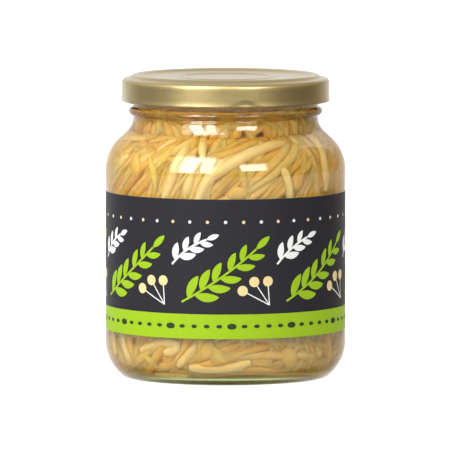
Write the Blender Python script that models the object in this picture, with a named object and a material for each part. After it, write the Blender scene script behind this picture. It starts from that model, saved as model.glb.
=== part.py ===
"""A glass jar of mung bean sprouts in brine, with a paper label and a gold twist-off lid.

Metres, +Z up. The origin is the centre of the foot, on the surface that the jar stands on, and the jar's
front, where the label's middle is, faces -Y. Profiles are lists of (radius, height) points.
"""

import math
import random

import bmesh
import bpy
import numpy as np
from mathutils import Vector

# Turned pieces all have the same number of sides, so that their facets lie parallel
SIDES = 36

# Glass jar: heights from the foot, radii from the axis
BODY_RADIUS = 0.04053
FOOT_OUTER_RADIUS = 0.0334
FOOT_INNER_RADIUS = 0.0305
PUSH_UP_EDGE_RADIUS = 0.0290
PUSH_UP_EDGE_HEIGHT = 0.0009
PUSH_UP_HEIGHT = 0.0018
HEEL_RADIUS = 0.0147
HEEL_TOP = 0.0120
HEEL_TURN_DEG = 51.5
SHOULDER_BASE = 0.0700
SHOULDER_RADIUS = 0.0142
SHOULDER_TURN_DEG = 45.0
NECK_RADIUS = 0.0312
NECK_FILLET_RADIUS = 0.0068
NECK_FILLET_TOP = 0.0878
BEAD_HEIGHT = 0.0899
BEAD_RADIUS = 0.0015
RIM_TOP = 0.1000
RIM_ROUNDING = 0.0011
MOUTH_RADIUS = 0.0285
MOUTH_ROUNDING = 0.0008
WALL = 0.0026
FLOOR_HEIGHT = 0.0044
FLOOR_RISE = 0.0010
INNER_HEEL_RADIUS = 0.0086

# Label and the shallow recess that it lies in
LABEL_BOTTOM = 0.0162
LABEL_TOP = 0.0629
LABEL_THICKNESS = 0.0003
LABEL_OUTER_RADIUS = 0.0405
RECESS_MARGIN = 0.0003
RECESS_STEP = 0.0009

# Clearance between pieces that touch on the real thing
GAP = 0.0003

# Threads on the mouth: each rises from its closed end to its entry end, counter-clockwise from above
THREADS = 4
THREAD_RADIUS = 0.0330
THREAD_LOW = 0.0950
THREAD_RISE = 0.0019
THREAD_THICKNESS = 0.0015
THREAD_ROOT_DEPTH = 0.0011
THREAD_SLOPES = (0.0002, 0.0006, 0.0004)
THREAD_STEPS = 8
THREAD_BEHIND_LUG_DEG = 10.0
THREAD_AHEAD_OF_LUG_DEG = 57.0

# Lid: gold tinplate
LID_BOTTOM = 0.0934
LID_TOP = 0.1020
LID_RADIUS = 0.0353
LID_SHEET = 0.0005
SKIRT_RADIUS = 0.03505
CURL_HEIGHT = 0.0012
CURL_DEPTH = 0.0013
CURL_ROUNDING = 0.0003
LID_CORNER_HEIGHT = 0.0999
LID_CORNER_RADIUS = 0.0344
LID_CORNER_BEVEL = (0.0006, 0.0005)
LID_STEP_HEIGHT = 0.1009
LID_RIDGE_RADIUS = 0.0309
LID_RIDGE_SLOPES = ((-0.0011, 0.0002), (0.0, 0.0), (0.0009, 0.0004))
LID_RIDGE_FOOT = 0.0018
LID_PANEL_RADIUS = 0.0279
LID_PANEL_HEIGHT = 0.1011
BUTTON_RADIUS = 0.0160
BUTTON_STEP = 0.0004
BUTTON_BEAD = 0.0010

# Lugs: bent inwards from the lid's lower edge, the first of them a little right of the front
LUGS = THREADS
FIRST_LUG_DEG = -79.2
LUG_WIDTH_DEG = 16.0
LUG_INNER_RADIUS = 0.0319
LUG_BOTTOM = 0.0937
LUG_TOP = 0.0947
LUG_SLOPE = 0.0002
LUG_ROOT_DEPTH = 0.0006
LUG_STEPS = 3

# Sealing ring in the lid's channel
SEAL_INNER_RADIUS = 0.0289
SEAL_OUTER_RADIUS = 0.0311
SEAL_TOP = 0.1012

# Brine: a skin of liquid between the glass and the sprouts, with one hole that they stand in
BRINE_LEVEL = 0.0955
BRINE_SKIN = 0.0006
FACET_CLEARANCE = 0.0003

# Sprouts: tubes that lie against the inside of the jar, round a smaller core
SEED = 2
SPROUT_RADIUS = 0.00145
SPROUT_TIP_RADIUS = 0.0005
SPROUT_SIDES = 6
SPROUT_RINGS = 11
TAPER_RINGS = 4
SPROUT_LENGTH = (0.034, 0.056)
SPROUT_TOP = 0.0965
SPROUT_DEPTH_SPREAD = 0.0005
WALL_SPROUTS = 96
TOP_SPROUTS = 7
TOP_SPROUT_LENGTH = 0.034
MEAN_LEAN_DEG = 24.0
LEAN_SPREAD_DEG = 34.0
BEND_SPREAD_DEG = 38.0
DRAWS_PER_SPROUT = 16
START_JITTER = 0.6
SAMPLES_PER_STRETCH = 2
BED_STEP = 0.0015
LEAST_TURN_RADIUS = 0.006
TOP_SPROUT_DROP = 0.0022
TOP_SPROUT_OFFSET = 0.35
BEAN_EVERY = 4
BEAN_SIZE = (0.0038, 0.0029, 0.0022)
BEAN_OVERHANG = 0.4
CORE_BELOW_SPROUTS = 0.0005
BUNCH_CELL = 0.0006
BUNCH_TRIANGLES = 6800
GOLDEN_ANGLE = math.pi * (3.0 - math.sqrt(5.0))


def clear_scene():
    for obj in list(bpy.data.objects):
        bpy.data.objects.remove(obj)


def material(name, colour, roughness, metallic=0.0, transmission=0.0):
    """A Principled material with one colour."""
    made = bpy.data.materials.new(name)
    made.use_nodes = True
    shader = made.node_tree.nodes["Principled BSDF"]
    shader.inputs["Base Color"].default_value = (*colour, 1.0)
    shader.inputs["Roughness"].default_value = roughness
    shader.inputs["Metallic"].default_value = metallic
    shader.inputs["Transmission Weight"].default_value = transmission
    return made


def new_object(name, bm, finish=None, smooth_deg=40.0):
    """The bmesh as an object of the scene, its faces turned outwards and its round sides shaded smooth."""
    bmesh.ops.recalc_face_normals(bm, faces=bm.faces)
    mesh = bpy.data.meshes.new(name)
    bm.to_mesh(mesh)
    bm.free()
    if finish:
        mesh.materials.append(finish)
    mesh.shade_smooth()
    mesh.set_sharp_from_angle(angle=math.radians(smooth_deg))
    made = bpy.data.objects.new(name, mesh)
    bpy.context.scene.collection.objects.link(made)
    return made


def hide_helper(obj):
    obj.hide_render = True
    obj.display_type = "WIRE"


def arc(centre, radius, start_deg, end_deg, steps):
    """Points on a circle in the profile's plane, with both ends."""
    points = []
    for i in range(steps + 1):
        angle = math.radians(start_deg + (end_deg - start_deg) * i / steps)
        points.append((centre[0] + radius * math.cos(angle), centre[1] + radius * math.sin(angle)))
    return points


def turned(name, profile, finish, closed=False):
    """The profile spun round the Z axis: an open one starts and ends on the axis, a closed one is a ring."""
    bm = bmesh.new()
    points = [bm.verts.new((r, 0.0, z)) for r, z in profile]
    edges = [bm.edges.new(pair) for pair in zip(points, points[1:])]
    if closed:
        edges.append(bm.edges.new((points[-1], points[0])))
    bmesh.ops.spin(
        bm,
        geom=points + edges,
        cent=(0.0, 0.0, 0.0),
        axis=(0.0, 0.0, 1.0),
        angle=2.0 * math.pi,
        steps=SIDES,
        use_merge=True,
    )
    bmesh.ops.remove_doubles(bm, verts=bm.verts, dist=1e-6)
    return new_object(name, bm, finish)


def offset(profile, distance):
    """The profile moved to the left of its direction. Points on the axis stay on it."""
    moved = []
    for i, (r, z) in enumerate(profile):
        before = Vector(profile[max(i - 1, 0)])
        after = Vector(profile[min(i + 1, len(profile) - 1)])
        run = (after - before).normalized()
        on_axis = r == 0.0
        moved.append((0.0 if on_axis else r - run.y * distance, z + run.x * distance))
    return moved


def cut_at(profile, height):
    """The rising profile up to a height, ended by a point at that height."""
    kept = [profile[0]]
    for (r0, z0), (r1, z1) in zip(profile, profile[1:]):
        if z1 >= height and z1 > z0:
            kept.append((r0 + (r1 - r0) * (height - z0) / (z1 - z0), height))
            return kept
        kept.append((r1, z1))
    return kept


def outer_wall():
    """The jar's outside, from the foot's outer edge up to the top of its rim."""
    heel = arc((BODY_RADIUS - HEEL_RADIUS, HEEL_TOP), HEEL_RADIUS, -HEEL_TURN_DEG, 0.0, 5)
    recess = LABEL_OUTER_RADIUS - LABEL_THICKNESS - GAP
    low = LABEL_BOTTOM - RECESS_MARGIN
    high = LABEL_TOP + RECESS_MARGIN
    panel = [
        (BODY_RADIUS, low - RECESS_STEP),
        (recess, low),
        (recess, high),
        (BODY_RADIUS, high + RECESS_STEP),
    ]
    shoulder_centre = (BODY_RADIUS - SHOULDER_RADIUS, SHOULDER_BASE)
    shoulder = arc(shoulder_centre, SHOULDER_RADIUS, 0.0, SHOULDER_TURN_DEG, 5)
    fillet_centre = (NECK_RADIUS + NECK_FILLET_RADIUS, NECK_FILLET_TOP)
    fillet = arc(fillet_centre, NECK_FILLET_RADIUS, 180.0 + SHOULDER_TURN_DEG, 180.0, 3)
    bead = arc((NECK_RADIUS, BEAD_HEIGHT), BEAD_RADIUS, -75.0, 75.0, 5)
    finish = [(NECK_RADIUS, BEAD_HEIGHT + 1.2 * BEAD_RADIUS)]
    rim = arc((NECK_RADIUS - RIM_ROUNDING, RIM_TOP - RIM_ROUNDING), RIM_ROUNDING, 0.0, 90.0, 3)
    return [(FOOT_OUTER_RADIUS, 0.0)] + heel + panel + shoulder + fillet + bead + finish + rim


def inner_wall():
    """The jar's inside, from the middle of its floor up to the mouth."""
    inside = BODY_RADIUS - WALL
    heel_centre = (inside - INNER_HEEL_RADIUS, FLOOR_HEIGHT + INNER_HEEL_RADIUS)
    heel = arc(heel_centre, INNER_HEEL_RADIUS, -90.0, 0.0, 5)
    shoulder_centre = (BODY_RADIUS - SHOULDER_RADIUS, SHOULDER_BASE)
    shoulder = arc(shoulder_centre, SHOULDER_RADIUS - WALL, 0.0, SHOULDER_TURN_DEG, 4)
    fillet_radius = NECK_RADIUS + NECK_FILLET_RADIUS - MOUTH_RADIUS
    fillet_centre = (NECK_RADIUS + NECK_FILLET_RADIUS, NECK_FILLET_TOP)
    fillet = arc(fillet_centre, fillet_radius, 180.0 + SHOULDER_TURN_DEG, 180.0, 3)
    mouth_centre = (MOUTH_RADIUS + MOUTH_ROUNDING, RIM_TOP - MOUTH_ROUNDING)
    mouth = arc(mouth_centre, MOUTH_ROUNDING, 180.0, 90.0, 2)
    return [(0.0, FLOOR_HEIGHT + FLOOR_RISE)] + heel + shoulder + fillet + mouth


def underside():
    """The jar's bottom, from its middle out to the foot ring."""
    return [(0.0, PUSH_UP_HEIGHT), (PUSH_UP_EDGE_RADIUS, PUSH_UP_EDGE_HEIGHT), (FOOT_INNER_RADIUS, 0.0)]


def thread_ridges():
    """The four sloping ridges on the mouth, as one helper mesh of four closed bodies."""
    bm = bmesh.new()
    span = THREAD_BEHIND_LUG_DEG + THREAD_AHEAD_OF_LUG_DEG
    below, bevel, above = THREAD_SLOPES
    root = NECK_RADIUS - THREAD_ROOT_DEPTH
    for k in range(THREADS):
        start = FIRST_LUG_DEG + k * 360.0 / THREADS - THREAD_BEHIND_LUG_DEG
        rings = []
        for i in range(THREAD_STEPS + 1):
            share = i / THREAD_STEPS
            angle = math.radians(start + span * share)
            low = THREAD_LOW + THREAD_RISE * share
            high = low + THREAD_THICKNESS
            section = [
                (root, low - below),
                (THREAD_RADIUS, low),
                (THREAD_RADIUS, high - bevel),
                (root, high + above),
            ]
            rings.append([bm.verts.new((r * math.cos(angle), r * math.sin(angle), z)) for r, z in section])
        skin(bm, rings)
    ridges = new_object("thread_ridges", bm)
    hide_helper(ridges)
    return ridges


def skin(bm, rings):
    """Faces between equal rings of points, and one to close each end."""
    for a, b in zip(rings, rings[1:]):
        for i in range(len(a)):
            j = (i + 1) % len(a)
            bm.faces.new((a[i], a[j], b[j], b[i]))
    bm.faces.new(rings[0])
    bm.faces.new(rings[-1])


def join_with(obj, helper):
    union = obj.modifiers.new("join_" + helper.name, "BOOLEAN")
    union.operation = "UNION"
    union.solver = "EXACT"
    union.object = helper


def make_glass_jar():
    glass = material("clear_glass", (0.90, 0.96, 0.92), 0.05, transmission=1.0)
    inside = list(reversed(inner_wall()))
    jar = turned("glass_jar", underside() + outer_wall() + inside, glass)
    join_with(jar, thread_ridges())


def lid_outside():
    """The lid's upper surface, from its middle out over the ridge and down to the lower edge."""
    panel = [
        (0.0, LID_PANEL_HEIGHT - BUTTON_STEP),
        (BUTTON_RADIUS - BUTTON_BEAD, LID_PANEL_HEIGHT),
        (BUTTON_RADIUS, LID_PANEL_HEIGHT + 0.5 * BUTTON_STEP),
        (BUTTON_RADIUS + BUTTON_BEAD, LID_PANEL_HEIGHT),
        (LID_PANEL_RADIUS, LID_PANEL_HEIGHT),
    ]
    ridge = [(LID_RIDGE_RADIUS + out, LID_TOP - down) for out, down in LID_RIDGE_SLOPES]
    ridge.append((LID_RIDGE_RADIUS + LID_RIDGE_FOOT, LID_STEP_HEIGHT))
    bevel_width, bevel_height = LID_CORNER_BEVEL
    corner = [
        (LID_CORNER_RADIUS - bevel_width, LID_STEP_HEIGHT),
        (LID_CORNER_RADIUS, LID_STEP_HEIGHT - bevel_height),
        (SKIRT_RADIUS, LID_CORNER_HEIGHT - bevel_height),
    ]
    skirt = [(SKIRT_RADIUS, LID_BOTTOM + 1.4 * CURL_HEIGHT), (LID_RADIUS, LID_BOTTOM + 0.7 * CURL_HEIGHT)]
    return panel + ridge + corner + skirt


def make_lid():
    """The pressed cap: its sheet, the rolled lower edge and the lugs bent in from it."""
    gold = material("gold_lacquer", (0.72, 0.62, 0.33), 0.32, metallic=1.0)
    outside = lid_outside()
    inside = list(reversed(offset(outside[:-1], -LID_SHEET)))
    back = LID_RADIUS - CURL_DEPTH
    edge = [
        (LID_RADIUS - CURL_ROUNDING, LID_BOTTOM),
        (back + CURL_ROUNDING, LID_BOTTOM),
        (back, LID_BOTTOM + 0.5 * CURL_HEIGHT),
        (back + CURL_ROUNDING, LID_BOTTOM + CURL_HEIGHT),
    ]
    lid = turned("lid", outside + edge + inside, gold)
    join_with(lid, lug_blocks())


def lug_blocks():
    """The lugs, as one helper mesh of closed bodies sunk into the rolled edge."""
    bm = bmesh.new()
    root = LID_RADIUS - LUG_ROOT_DEPTH
    for k in range(LUGS):
        middle = FIRST_LUG_DEG + k * 360.0 / LUGS
        rings = []
        for i in range(LUG_STEPS + 1):
            angle = math.radians(middle + LUG_WIDTH_DEG * (i / LUG_STEPS - 0.5))
            section = [
                (LUG_INNER_RADIUS, LUG_BOTTOM + LUG_SLOPE),
                (root, LUG_BOTTOM),
                (root, LUG_TOP - LUG_SLOPE),
                (LUG_INNER_RADIUS, LUG_TOP),
            ]
            rings.append([bm.verts.new((r * math.cos(angle), r * math.sin(angle), z)) for r, z in section])
        skin(bm, rings)
    lugs = new_object("lug_blocks", bm)
    hide_helper(lugs)
    return lugs


def make_lid_seal():
    compound = material("seal_compound", (0.86, 0.84, 0.78), 0.6)
    bottom = RIM_TOP + GAP
    section = [
        (SEAL_INNER_RADIUS, bottom),
        (SEAL_OUTER_RADIUS, bottom),
        (SEAL_OUTER_RADIUS, SEAL_TOP - GAP),
        (0.5 * (SEAL_INNER_RADIUS + SEAL_OUTER_RADIUS), SEAL_TOP),
        (SEAL_INNER_RADIUS, SEAL_TOP - 2.0 * GAP),
    ]
    turned("lid_seal", section, compound, closed=True)


def make_label():
    paper = material("label_paper", (0.045, 0.042, 0.047), 0.5)
    inner = LABEL_OUTER_RADIUS - LABEL_THICKNESS
    section = [
        (inner, LABEL_BOTTOM),
        (LABEL_OUTER_RADIUS, LABEL_BOTTOM),
        (LABEL_OUTER_RADIUS, LABEL_TOP),
        (inner, LABEL_TOP),
    ]
    turned("label", section, paper, closed=True)


def make_brine():
    liquid = material("brine_liquid", (0.90, 0.72, 0.36), 0.02, transmission=1.0)
    outside = cut_at(offset(inner_wall(), GAP), BRINE_LEVEL)
    inside = cut_at(offset(inner_wall(), GAP + BRINE_SKIN), BRINE_LEVEL)
    turned("brine", outside + list(reversed(inside)), liquid)


def lengths_along(profile):
    """The distance from the profile's start to each of its points."""
    total = [0.0]
    for a, b in zip(profile, profile[1:]):
        total.append(total[-1] + math.dist(a, b))
    return total


def point_at(profile, lengths, distance):
    """The point of the profile that lies a distance from its start."""
    distance = min(max(distance, 0.0), lengths[-1])
    for i in range(1, len(profile)):
        if distance <= lengths[i]:
            share = (distance - lengths[i - 1]) / (lengths[i] - lengths[i - 1])
            (r0, z0), (r1, z1) = profile[i - 1], profile[i]
            return r0 + (r1 - r0) * share, z0 + (z1 - z0) * share
    return profile[-1]


def starts_by_area(profile, lengths, count):
    """Distances along the profile that share out the turned surface's area evenly."""
    samples = 400
    rings = [point_at(profile, lengths, lengths[-1] * (i + 0.5) / samples)[0] for i in range(samples)]
    total = sum(rings)
    found = []
    reached = 0.0
    for i, ring in enumerate(rings):
        reached += ring
        while len(found) < count and reached >= total * (len(found) + 0.5) / count:
            found.append(lengths[-1] * (i + 0.5) / samples)
    return found


def wall_path(rng, bed, lengths, middle, angle, length):
    """A sprout's middle line on the turned surface of the bed: it leans, and bends a little one way."""
    lean = math.radians(rng.gauss(MEAN_LEAN_DEG, LEAN_SPREAD_DEG))
    bend = math.radians(rng.gauss(0.0, BEND_SPREAD_DEG)) / length
    depth = rng.uniform(0.0, SPROUT_DEPTH_SPREAD)
    step = length / (SPROUT_RINGS - 1)
    halves = []
    for way in (-1.0, 1.0):
        distance, turn, heading = middle, angle, lean
        half = []
        for _ in range(SPROUT_RINGS // 2):
            distance += way * step * math.cos(heading)
            r = max(point_at(bed, lengths, distance)[0], LEAST_TURN_RADIUS)
            turn += way * step * math.sin(heading) / r
            heading += way * step * bend
            half.append((distance, turn))
        halves.append(half)
    stations = list(reversed(halves[0])) + [(middle, angle)] + halves[1]
    path = []
    for distance, turn in stations:
        within = distance if distance <= lengths[-1] else 2.0 * lengths[-1] - distance
        path.append(on_bed(bed, lengths, abs(within), turn, depth))
    return path


def on_bed(bed, lengths, distance, turn, depth):
    """The point a little inside the turned bed, and the direction out of it there."""
    r0, z0 = point_at(bed, lengths, distance - BED_STEP)
    r1, z1 = point_at(bed, lengths, distance + BED_STEP)
    run = Vector((r1 - r0, z1 - z0)).normalized()
    r = 0.5 * (r0 + r1) - run.y * depth
    z = 0.5 * (z0 + z1) + run.x * depth
    place = Vector((r * math.cos(turn), r * math.sin(turn), z))
    outward = Vector((run.y * math.cos(turn), run.y * math.sin(turn), -run.x))
    return place, outward


def between(path):
    """Points close together along the path, to measure distances from."""
    steps = [k / SAMPLES_PER_STRETCH for k in range(SAMPLES_PER_STRETCH)]
    return [a.lerp(b, share) for (a, _), (b, _) in zip(path, path[1:]) for share in steps]


def crowding(path, taken):
    """How much of the path lies nearer to an earlier sprout than their tubes allow."""
    if not taken:
        return 0
    mine = np.array(between(path))
    apart = np.linalg.norm(mine[:, None, :] - np.array(taken)[None, :, :], axis=2)
    return int((apart.min(axis=1) < 2.0 * SPROUT_RADIUS).sum())


def least_crowded(rng, bed, lengths, middle, angle, taken):
    """The best of several draws of a sprout's line, so that few of them cross."""
    draws = []
    for _ in range(DRAWS_PER_SPROUT):
        turn = angle + rng.uniform(-0.5, 0.5) * START_JITTER
        path = wall_path(rng, bed, lengths, middle, turn, rng.uniform(*SPROUT_LENGTH))
        draws.append((crowding(path, taken), path))
    best = min(draws, key=lambda draw: draw[0])[1]
    taken.extend(between(best))
    return best


def top_path(rng, angle, reach):
    """A sprout's middle line over the top of the bunch, bowed like the bunch."""
    side = Vector((math.cos(angle), math.sin(angle), 0.0))
    across = Vector((-side.y, side.x, 0.0)) * rng.uniform(-TOP_SPROUT_OFFSET, TOP_SPROUT_OFFSET) * reach
    path = []
    for i in range(SPROUT_RINGS):
        share = 2.0 * i / (SPROUT_RINGS - 1) - 1.0
        height = SPROUT_TOP - SPROUT_RADIUS - TOP_SPROUT_DROP * share * share
        place = across + side * share * 0.5 * TOP_SPROUT_LENGTH + Vector((0.0, 0.0, height))
        path.append((place, Vector((0.0, 0.0, 1.0))))
    return path


def frame_at(path, i):
    """The place, direction, sideways and outward directions at a station of the path."""
    place, outward = path[i]
    run = (path[min(i + 1, len(path) - 1)][0] - path[max(i - 1, 0)][0]).normalized()
    across = run.cross(outward).normalized()
    return place, run, across, across.cross(run).normalized()


def sprout_tube(path, name):
    """A tube along the path that thins to a root at its far end."""
    bm = bmesh.new()
    rings = []
    for i in range(len(path)):
        place, _, across, up = frame_at(path, i)
        left = len(path) - 1 - i
        radius = SPROUT_TIP_RADIUS + (SPROUT_RADIUS - SPROUT_TIP_RADIUS) * min(left / TAPER_RINGS, 1.0)
        ring = []
        for k in range(SPROUT_SIDES):
            turn = 2.0 * math.pi * k / SPROUT_SIDES
            ring.append(bm.verts.new(place + (up * math.cos(turn) + across * math.sin(turn)) * radius))
        rings.append(ring)
    skin(bm, rings)
    return new_object(name, bm)


def bean_half(path, name):
    """A seed half at the thick end of a sprout, lying along it."""
    bm = bmesh.new()
    bmesh.ops.create_uvsphere(bm, u_segments=6, v_segments=4, radius=1.0)
    place, run, across, up = frame_at(path, 0)
    middle = place - run * BEAN_OVERHANG * BEAN_SIZE[0] - up * (BEAN_SIZE[2] - SPROUT_RADIUS)
    for vert in bm.verts:
        x, y, z = vert.co
        vert.co = middle + run * x * BEAN_SIZE[0] + across * y * BEAN_SIZE[1] + up * z * BEAN_SIZE[2]
    return new_object(name, bm)


def fuse(core, repeats):
    """Joins the repeats to the core in one union, and removes them."""
    group = bpy.data.collections.new("repeats")
    for obj in repeats:
        group.objects.link(obj)
        hide_helper(obj)
    union = core.modifiers.new("fuse", "BOOLEAN")
    union.operation = "UNION"
    union.solver = "MANIFOLD"
    union.operand_type = "COLLECTION"
    union.collection = group
    apply_modifiers(core)
    for obj in repeats:
        bpy.data.objects.remove(obj)
    bpy.data.collections.remove(group)


def apply_modifiers(obj):
    """Gives the object the mesh that its modifiers make, and removes them."""
    bpy.context.view_layer.update()
    evaluated = obj.evaluated_get(bpy.context.evaluated_depsgraph_get())
    made = bpy.data.meshes.new_from_object(evaluated)
    obj.modifiers.clear()
    obj.data = made


def even_out(obj):
    """Rebuilds the fused surface from even cells, which leaves no slivers, and then with fewer triangles."""
    cells = obj.modifiers.new("cells", "REMESH")
    cells.mode = "VOXEL"
    cells.voxel_size = BUNCH_CELL
    apply_modifiers(obj)
    triangles = sum(len(face.vertices) - 2 for face in obj.data.polygons)
    fewer = obj.modifiers.new("fewer", "DECIMATE")
    fewer.ratio = BUNCH_TRIANGLES / triangles
    apply_modifiers(obj)


def keep_largest_shell(obj):
    """Fills the hollows that fusing sealed and drops loose scraps: both are the smaller shells."""
    bm = bmesh.new()
    bm.from_mesh(obj.data)
    left = set(bm.faces)
    shells = []
    while left:
        front = [left.pop()]
        shell = []
        while front:
            face = front.pop()
            shell.append(face)
            for edge in face.edges:
                beside = [other for other in edge.link_faces if other in left]
                left.difference_update(beside)
                front.extend(beside)
        shells.append(shell)
    shells.sort(key=len)
    for shell in shells[:-1]:
        bmesh.ops.delete(bm, geom=shell, context="FACES")
    bm.to_mesh(obj.data)
    bm.free()


def make_sprouts():
    """The bunch: tubes and seed halves evenly round a core that they stand half out of."""
    cream = material("sprout_cream", (0.90, 0.80, 0.56), 0.45)
    rng = random.Random(SEED)
    clear = 2.0 * GAP + BRINE_SKIN + FACET_CLEARANCE
    bed = cut_at(offset(inner_wall(), clear + SPROUT_RADIUS), SPROUT_TOP - 1.5 * SPROUT_RADIUS)
    lengths = lengths_along(bed)
    repeats = []
    taken = []
    for i, middle in enumerate(starts_by_area(bed, lengths, WALL_SPROUTS)):
        path = least_crowded(rng, bed, lengths, middle, i * GOLDEN_ANGLE, taken)
        repeats.append(sprout_tube(path, f"sprout_{i}"))
        if i % BEAN_EVERY == 0 and path[0][0].z > 2.0 * FLOOR_HEIGHT:
            repeats.append(bean_half(path, f"bean_{i}"))
    for i in range(TOP_SPROUTS):
        path = top_path(rng, i * GOLDEN_ANGLE, MOUTH_RADIUS)
        repeats.append(sprout_tube(path, f"top_sprout_{i}"))
    core_side = offset(inner_wall(), clear + SPROUT_RADIUS + CORE_BELOW_SPROUTS)
    core_profile = cut_at(core_side, SPROUT_TOP - 2.5 * SPROUT_RADIUS)
    core_profile.append((0.0, core_profile[-1][1] + 0.5 * SPROUT_RADIUS))
    core = turned("sprouts", core_profile, cream)
    fuse(core, repeats)
    even_out(core)
    keep_largest_shell(core)


def main():
    clear_scene()
    make_glass_jar()
    make_label()
    make_brine()
    make_sprouts()
    make_lid()
    make_lid_seal()


main()
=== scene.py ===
"""The looks of a glass jar of mung bean sprouts: glass, brine, sprouts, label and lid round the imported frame.

Metres, +Z up, the front towards -Y. Profiles are lists of (radius, height) points. A place on the jar's
inside is given by its distance along the inner wall's profile from the middle of the floor, its azimuth,
and its depth in from the wall. Azimuths count from the front, positive to the right.
"""

import math
import random

import bmesh
import bpy
import numpy as np
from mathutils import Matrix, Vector


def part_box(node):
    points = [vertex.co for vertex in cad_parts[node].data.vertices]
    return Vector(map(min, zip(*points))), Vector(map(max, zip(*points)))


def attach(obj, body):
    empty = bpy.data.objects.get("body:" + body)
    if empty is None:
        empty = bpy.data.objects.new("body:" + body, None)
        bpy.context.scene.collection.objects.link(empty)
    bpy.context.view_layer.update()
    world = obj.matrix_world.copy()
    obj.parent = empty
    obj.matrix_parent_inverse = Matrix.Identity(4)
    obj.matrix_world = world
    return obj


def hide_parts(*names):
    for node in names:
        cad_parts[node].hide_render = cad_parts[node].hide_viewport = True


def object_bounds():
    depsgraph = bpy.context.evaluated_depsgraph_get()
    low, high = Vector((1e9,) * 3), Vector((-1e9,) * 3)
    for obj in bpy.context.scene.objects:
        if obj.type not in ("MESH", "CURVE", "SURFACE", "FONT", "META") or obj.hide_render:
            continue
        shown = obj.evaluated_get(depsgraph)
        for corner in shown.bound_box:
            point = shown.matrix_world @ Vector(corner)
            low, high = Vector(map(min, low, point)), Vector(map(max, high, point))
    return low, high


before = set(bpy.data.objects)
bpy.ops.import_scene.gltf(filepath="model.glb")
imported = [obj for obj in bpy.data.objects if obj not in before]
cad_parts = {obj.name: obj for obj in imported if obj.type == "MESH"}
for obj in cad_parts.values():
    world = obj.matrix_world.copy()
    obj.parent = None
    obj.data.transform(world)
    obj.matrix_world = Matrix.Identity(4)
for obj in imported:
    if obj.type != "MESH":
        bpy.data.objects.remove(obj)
cad_low, cad_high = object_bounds()
label_low, label_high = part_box("label")
lid_low, lid_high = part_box("lid")

MM = 0.001
TAU = 2.0 * math.pi

# Glass jar, as the part's source has it, with finer arcs
BODY_RADIUS = cad_high.x
FOOT_OUTER_RADIUS = 33.4 * MM
FOOT_INNER_RADIUS = 30.5 * MM
PUSH_UP_EDGE_RADIUS = 29.0 * MM
PUSH_UP_EDGE_HEIGHT = 0.9 * MM
PUSH_UP_HEIGHT = 1.8 * MM
HEEL_RADIUS = 14.7 * MM
HEEL_TOP = 12.0 * MM
HEEL_TURN_DEG = 51.5
SHOULDER_BASE = 70.0 * MM
SHOULDER_RADIUS = 14.2 * MM
SHOULDER_TURN_DEG = 45.0
NECK_RADIUS = 31.2 * MM
NECK_FILLET_RADIUS = 6.8 * MM
NECK_FILLET_TOP = 87.8 * MM
BEAD_HEIGHT = 89.7 * MM
BEAD_RADIUS = 1.35 * MM
BEAD_OUT = 0.15 * MM
RIM_TOP = 100.0 * MM
RIM_ROUNDING = 1.1 * MM
MOUTH_RADIUS = 28.5 * MM
MOUTH_ROUNDING = 0.8 * MM
WALL = 2.6 * MM
FLOOR_HEIGHT = 3.0 * MM
FLOOR_RISE = 0.6 * MM
INNER_HEEL_RADIUS = 7.4 * MM
INSIDE_RADIUS = BODY_RADIUS - WALL
SHOULDER_CENTRE = (BODY_RADIUS - SHOULDER_RADIUS, SHOULDER_BASE)
FILLET_CENTRE = (NECK_RADIUS + NECK_FILLET_RADIUS, NECK_FILLET_TOP)
INNER_HEEL_CENTRE = (INSIDE_RADIUS - INNER_HEEL_RADIUS, FLOOR_HEIGHT + INNER_HEEL_RADIUS)
INNER_FILLET_RADIUS = FILLET_CENTRE[0] - MOUTH_RADIUS
GLASS_SEGMENTS = 360
RIBS_TOP = 1.2 * MM
RIB_DEPTH = 0.13 * MM
DRY_SHINE = 0.65
WET_SHINE = 0.05
UNDERSIDE_FROST = 0.7
FROST_TINTS = ((0.0, (0.985, 0.995, 0.985)), (UNDERSIDE_FROST, (0.70, 0.87, 0.34)), (1.0, (0.30, 0.38, 0.16)))

# Threads and lid
FIRST_LUG_DEG = -79.2
LUGS = 4
LUG_HALF_WIDTH_DEG = 8.0
LUG_REACH = 2.4 * MM
THREAD_RADIUS = 33.0 * MM
THREAD_LOW = 95.0 * MM
THREAD_RISE = 1.9 * MM
THREAD_THICKNESS = 1.5 * MM
THREAD_BEHIND_LUG_DEG = 10.0
THREAD_AHEAD_OF_LUG_DEG = 57.0
LID_SHEET = 0.3 * MM
SKIRT_RADIUS = 35.05 * MM
CURL_RADIUS = 0.42 * MM
PANEL_RADIUS = 27.9 * MM
PANEL_HEIGHT = 101.1 * MM
RIDGE_RADIUS = 30.9 * MM
BUTTON_RADIUS = 16.0 * MM
BUTTON_STEP = 0.4 * MM
PANEL_RISE = ((0.0, 0.03), (0.8, 0.25), (1.5, 0.6))
RIDGE = ((-0.8, 0.12), (-0.3, 0.01), (0.1, 0.0), (0.5, 0.12), (1.1, 0.55), (1.7, 0.95), (2.3, 1.1))
LID_SEGMENTS = 240
LID_DROP = 0.45 * MM
DENT_HALF_WIDTH = 8.4 * MM
DENT_HEIGHT = 2.9 * MM
DENT_DEPTH = 0.2 * MM
DENT_SLOPE = 5.0 * MM

# Label
LABEL_BOTTOM = label_low.z
LABEL_TOP = label_high.z
LABEL_RADIUS = label_high.x
PAPER_THICKNESS = 0.12 * MM
BAND_TOP = 24.45 * MM
LABEL_SEGMENTS = 240
LABEL_LAP = 3.0 * MM
TWIG_REPEATS = 7
TWIG_WIDTH = 0.7 * MM
BAND_DOTS = 60

# Brine
BRINE_LEVEL = 95.5 * MM
BRINE_INTO_GLASS = 0.05 * MM

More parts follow.
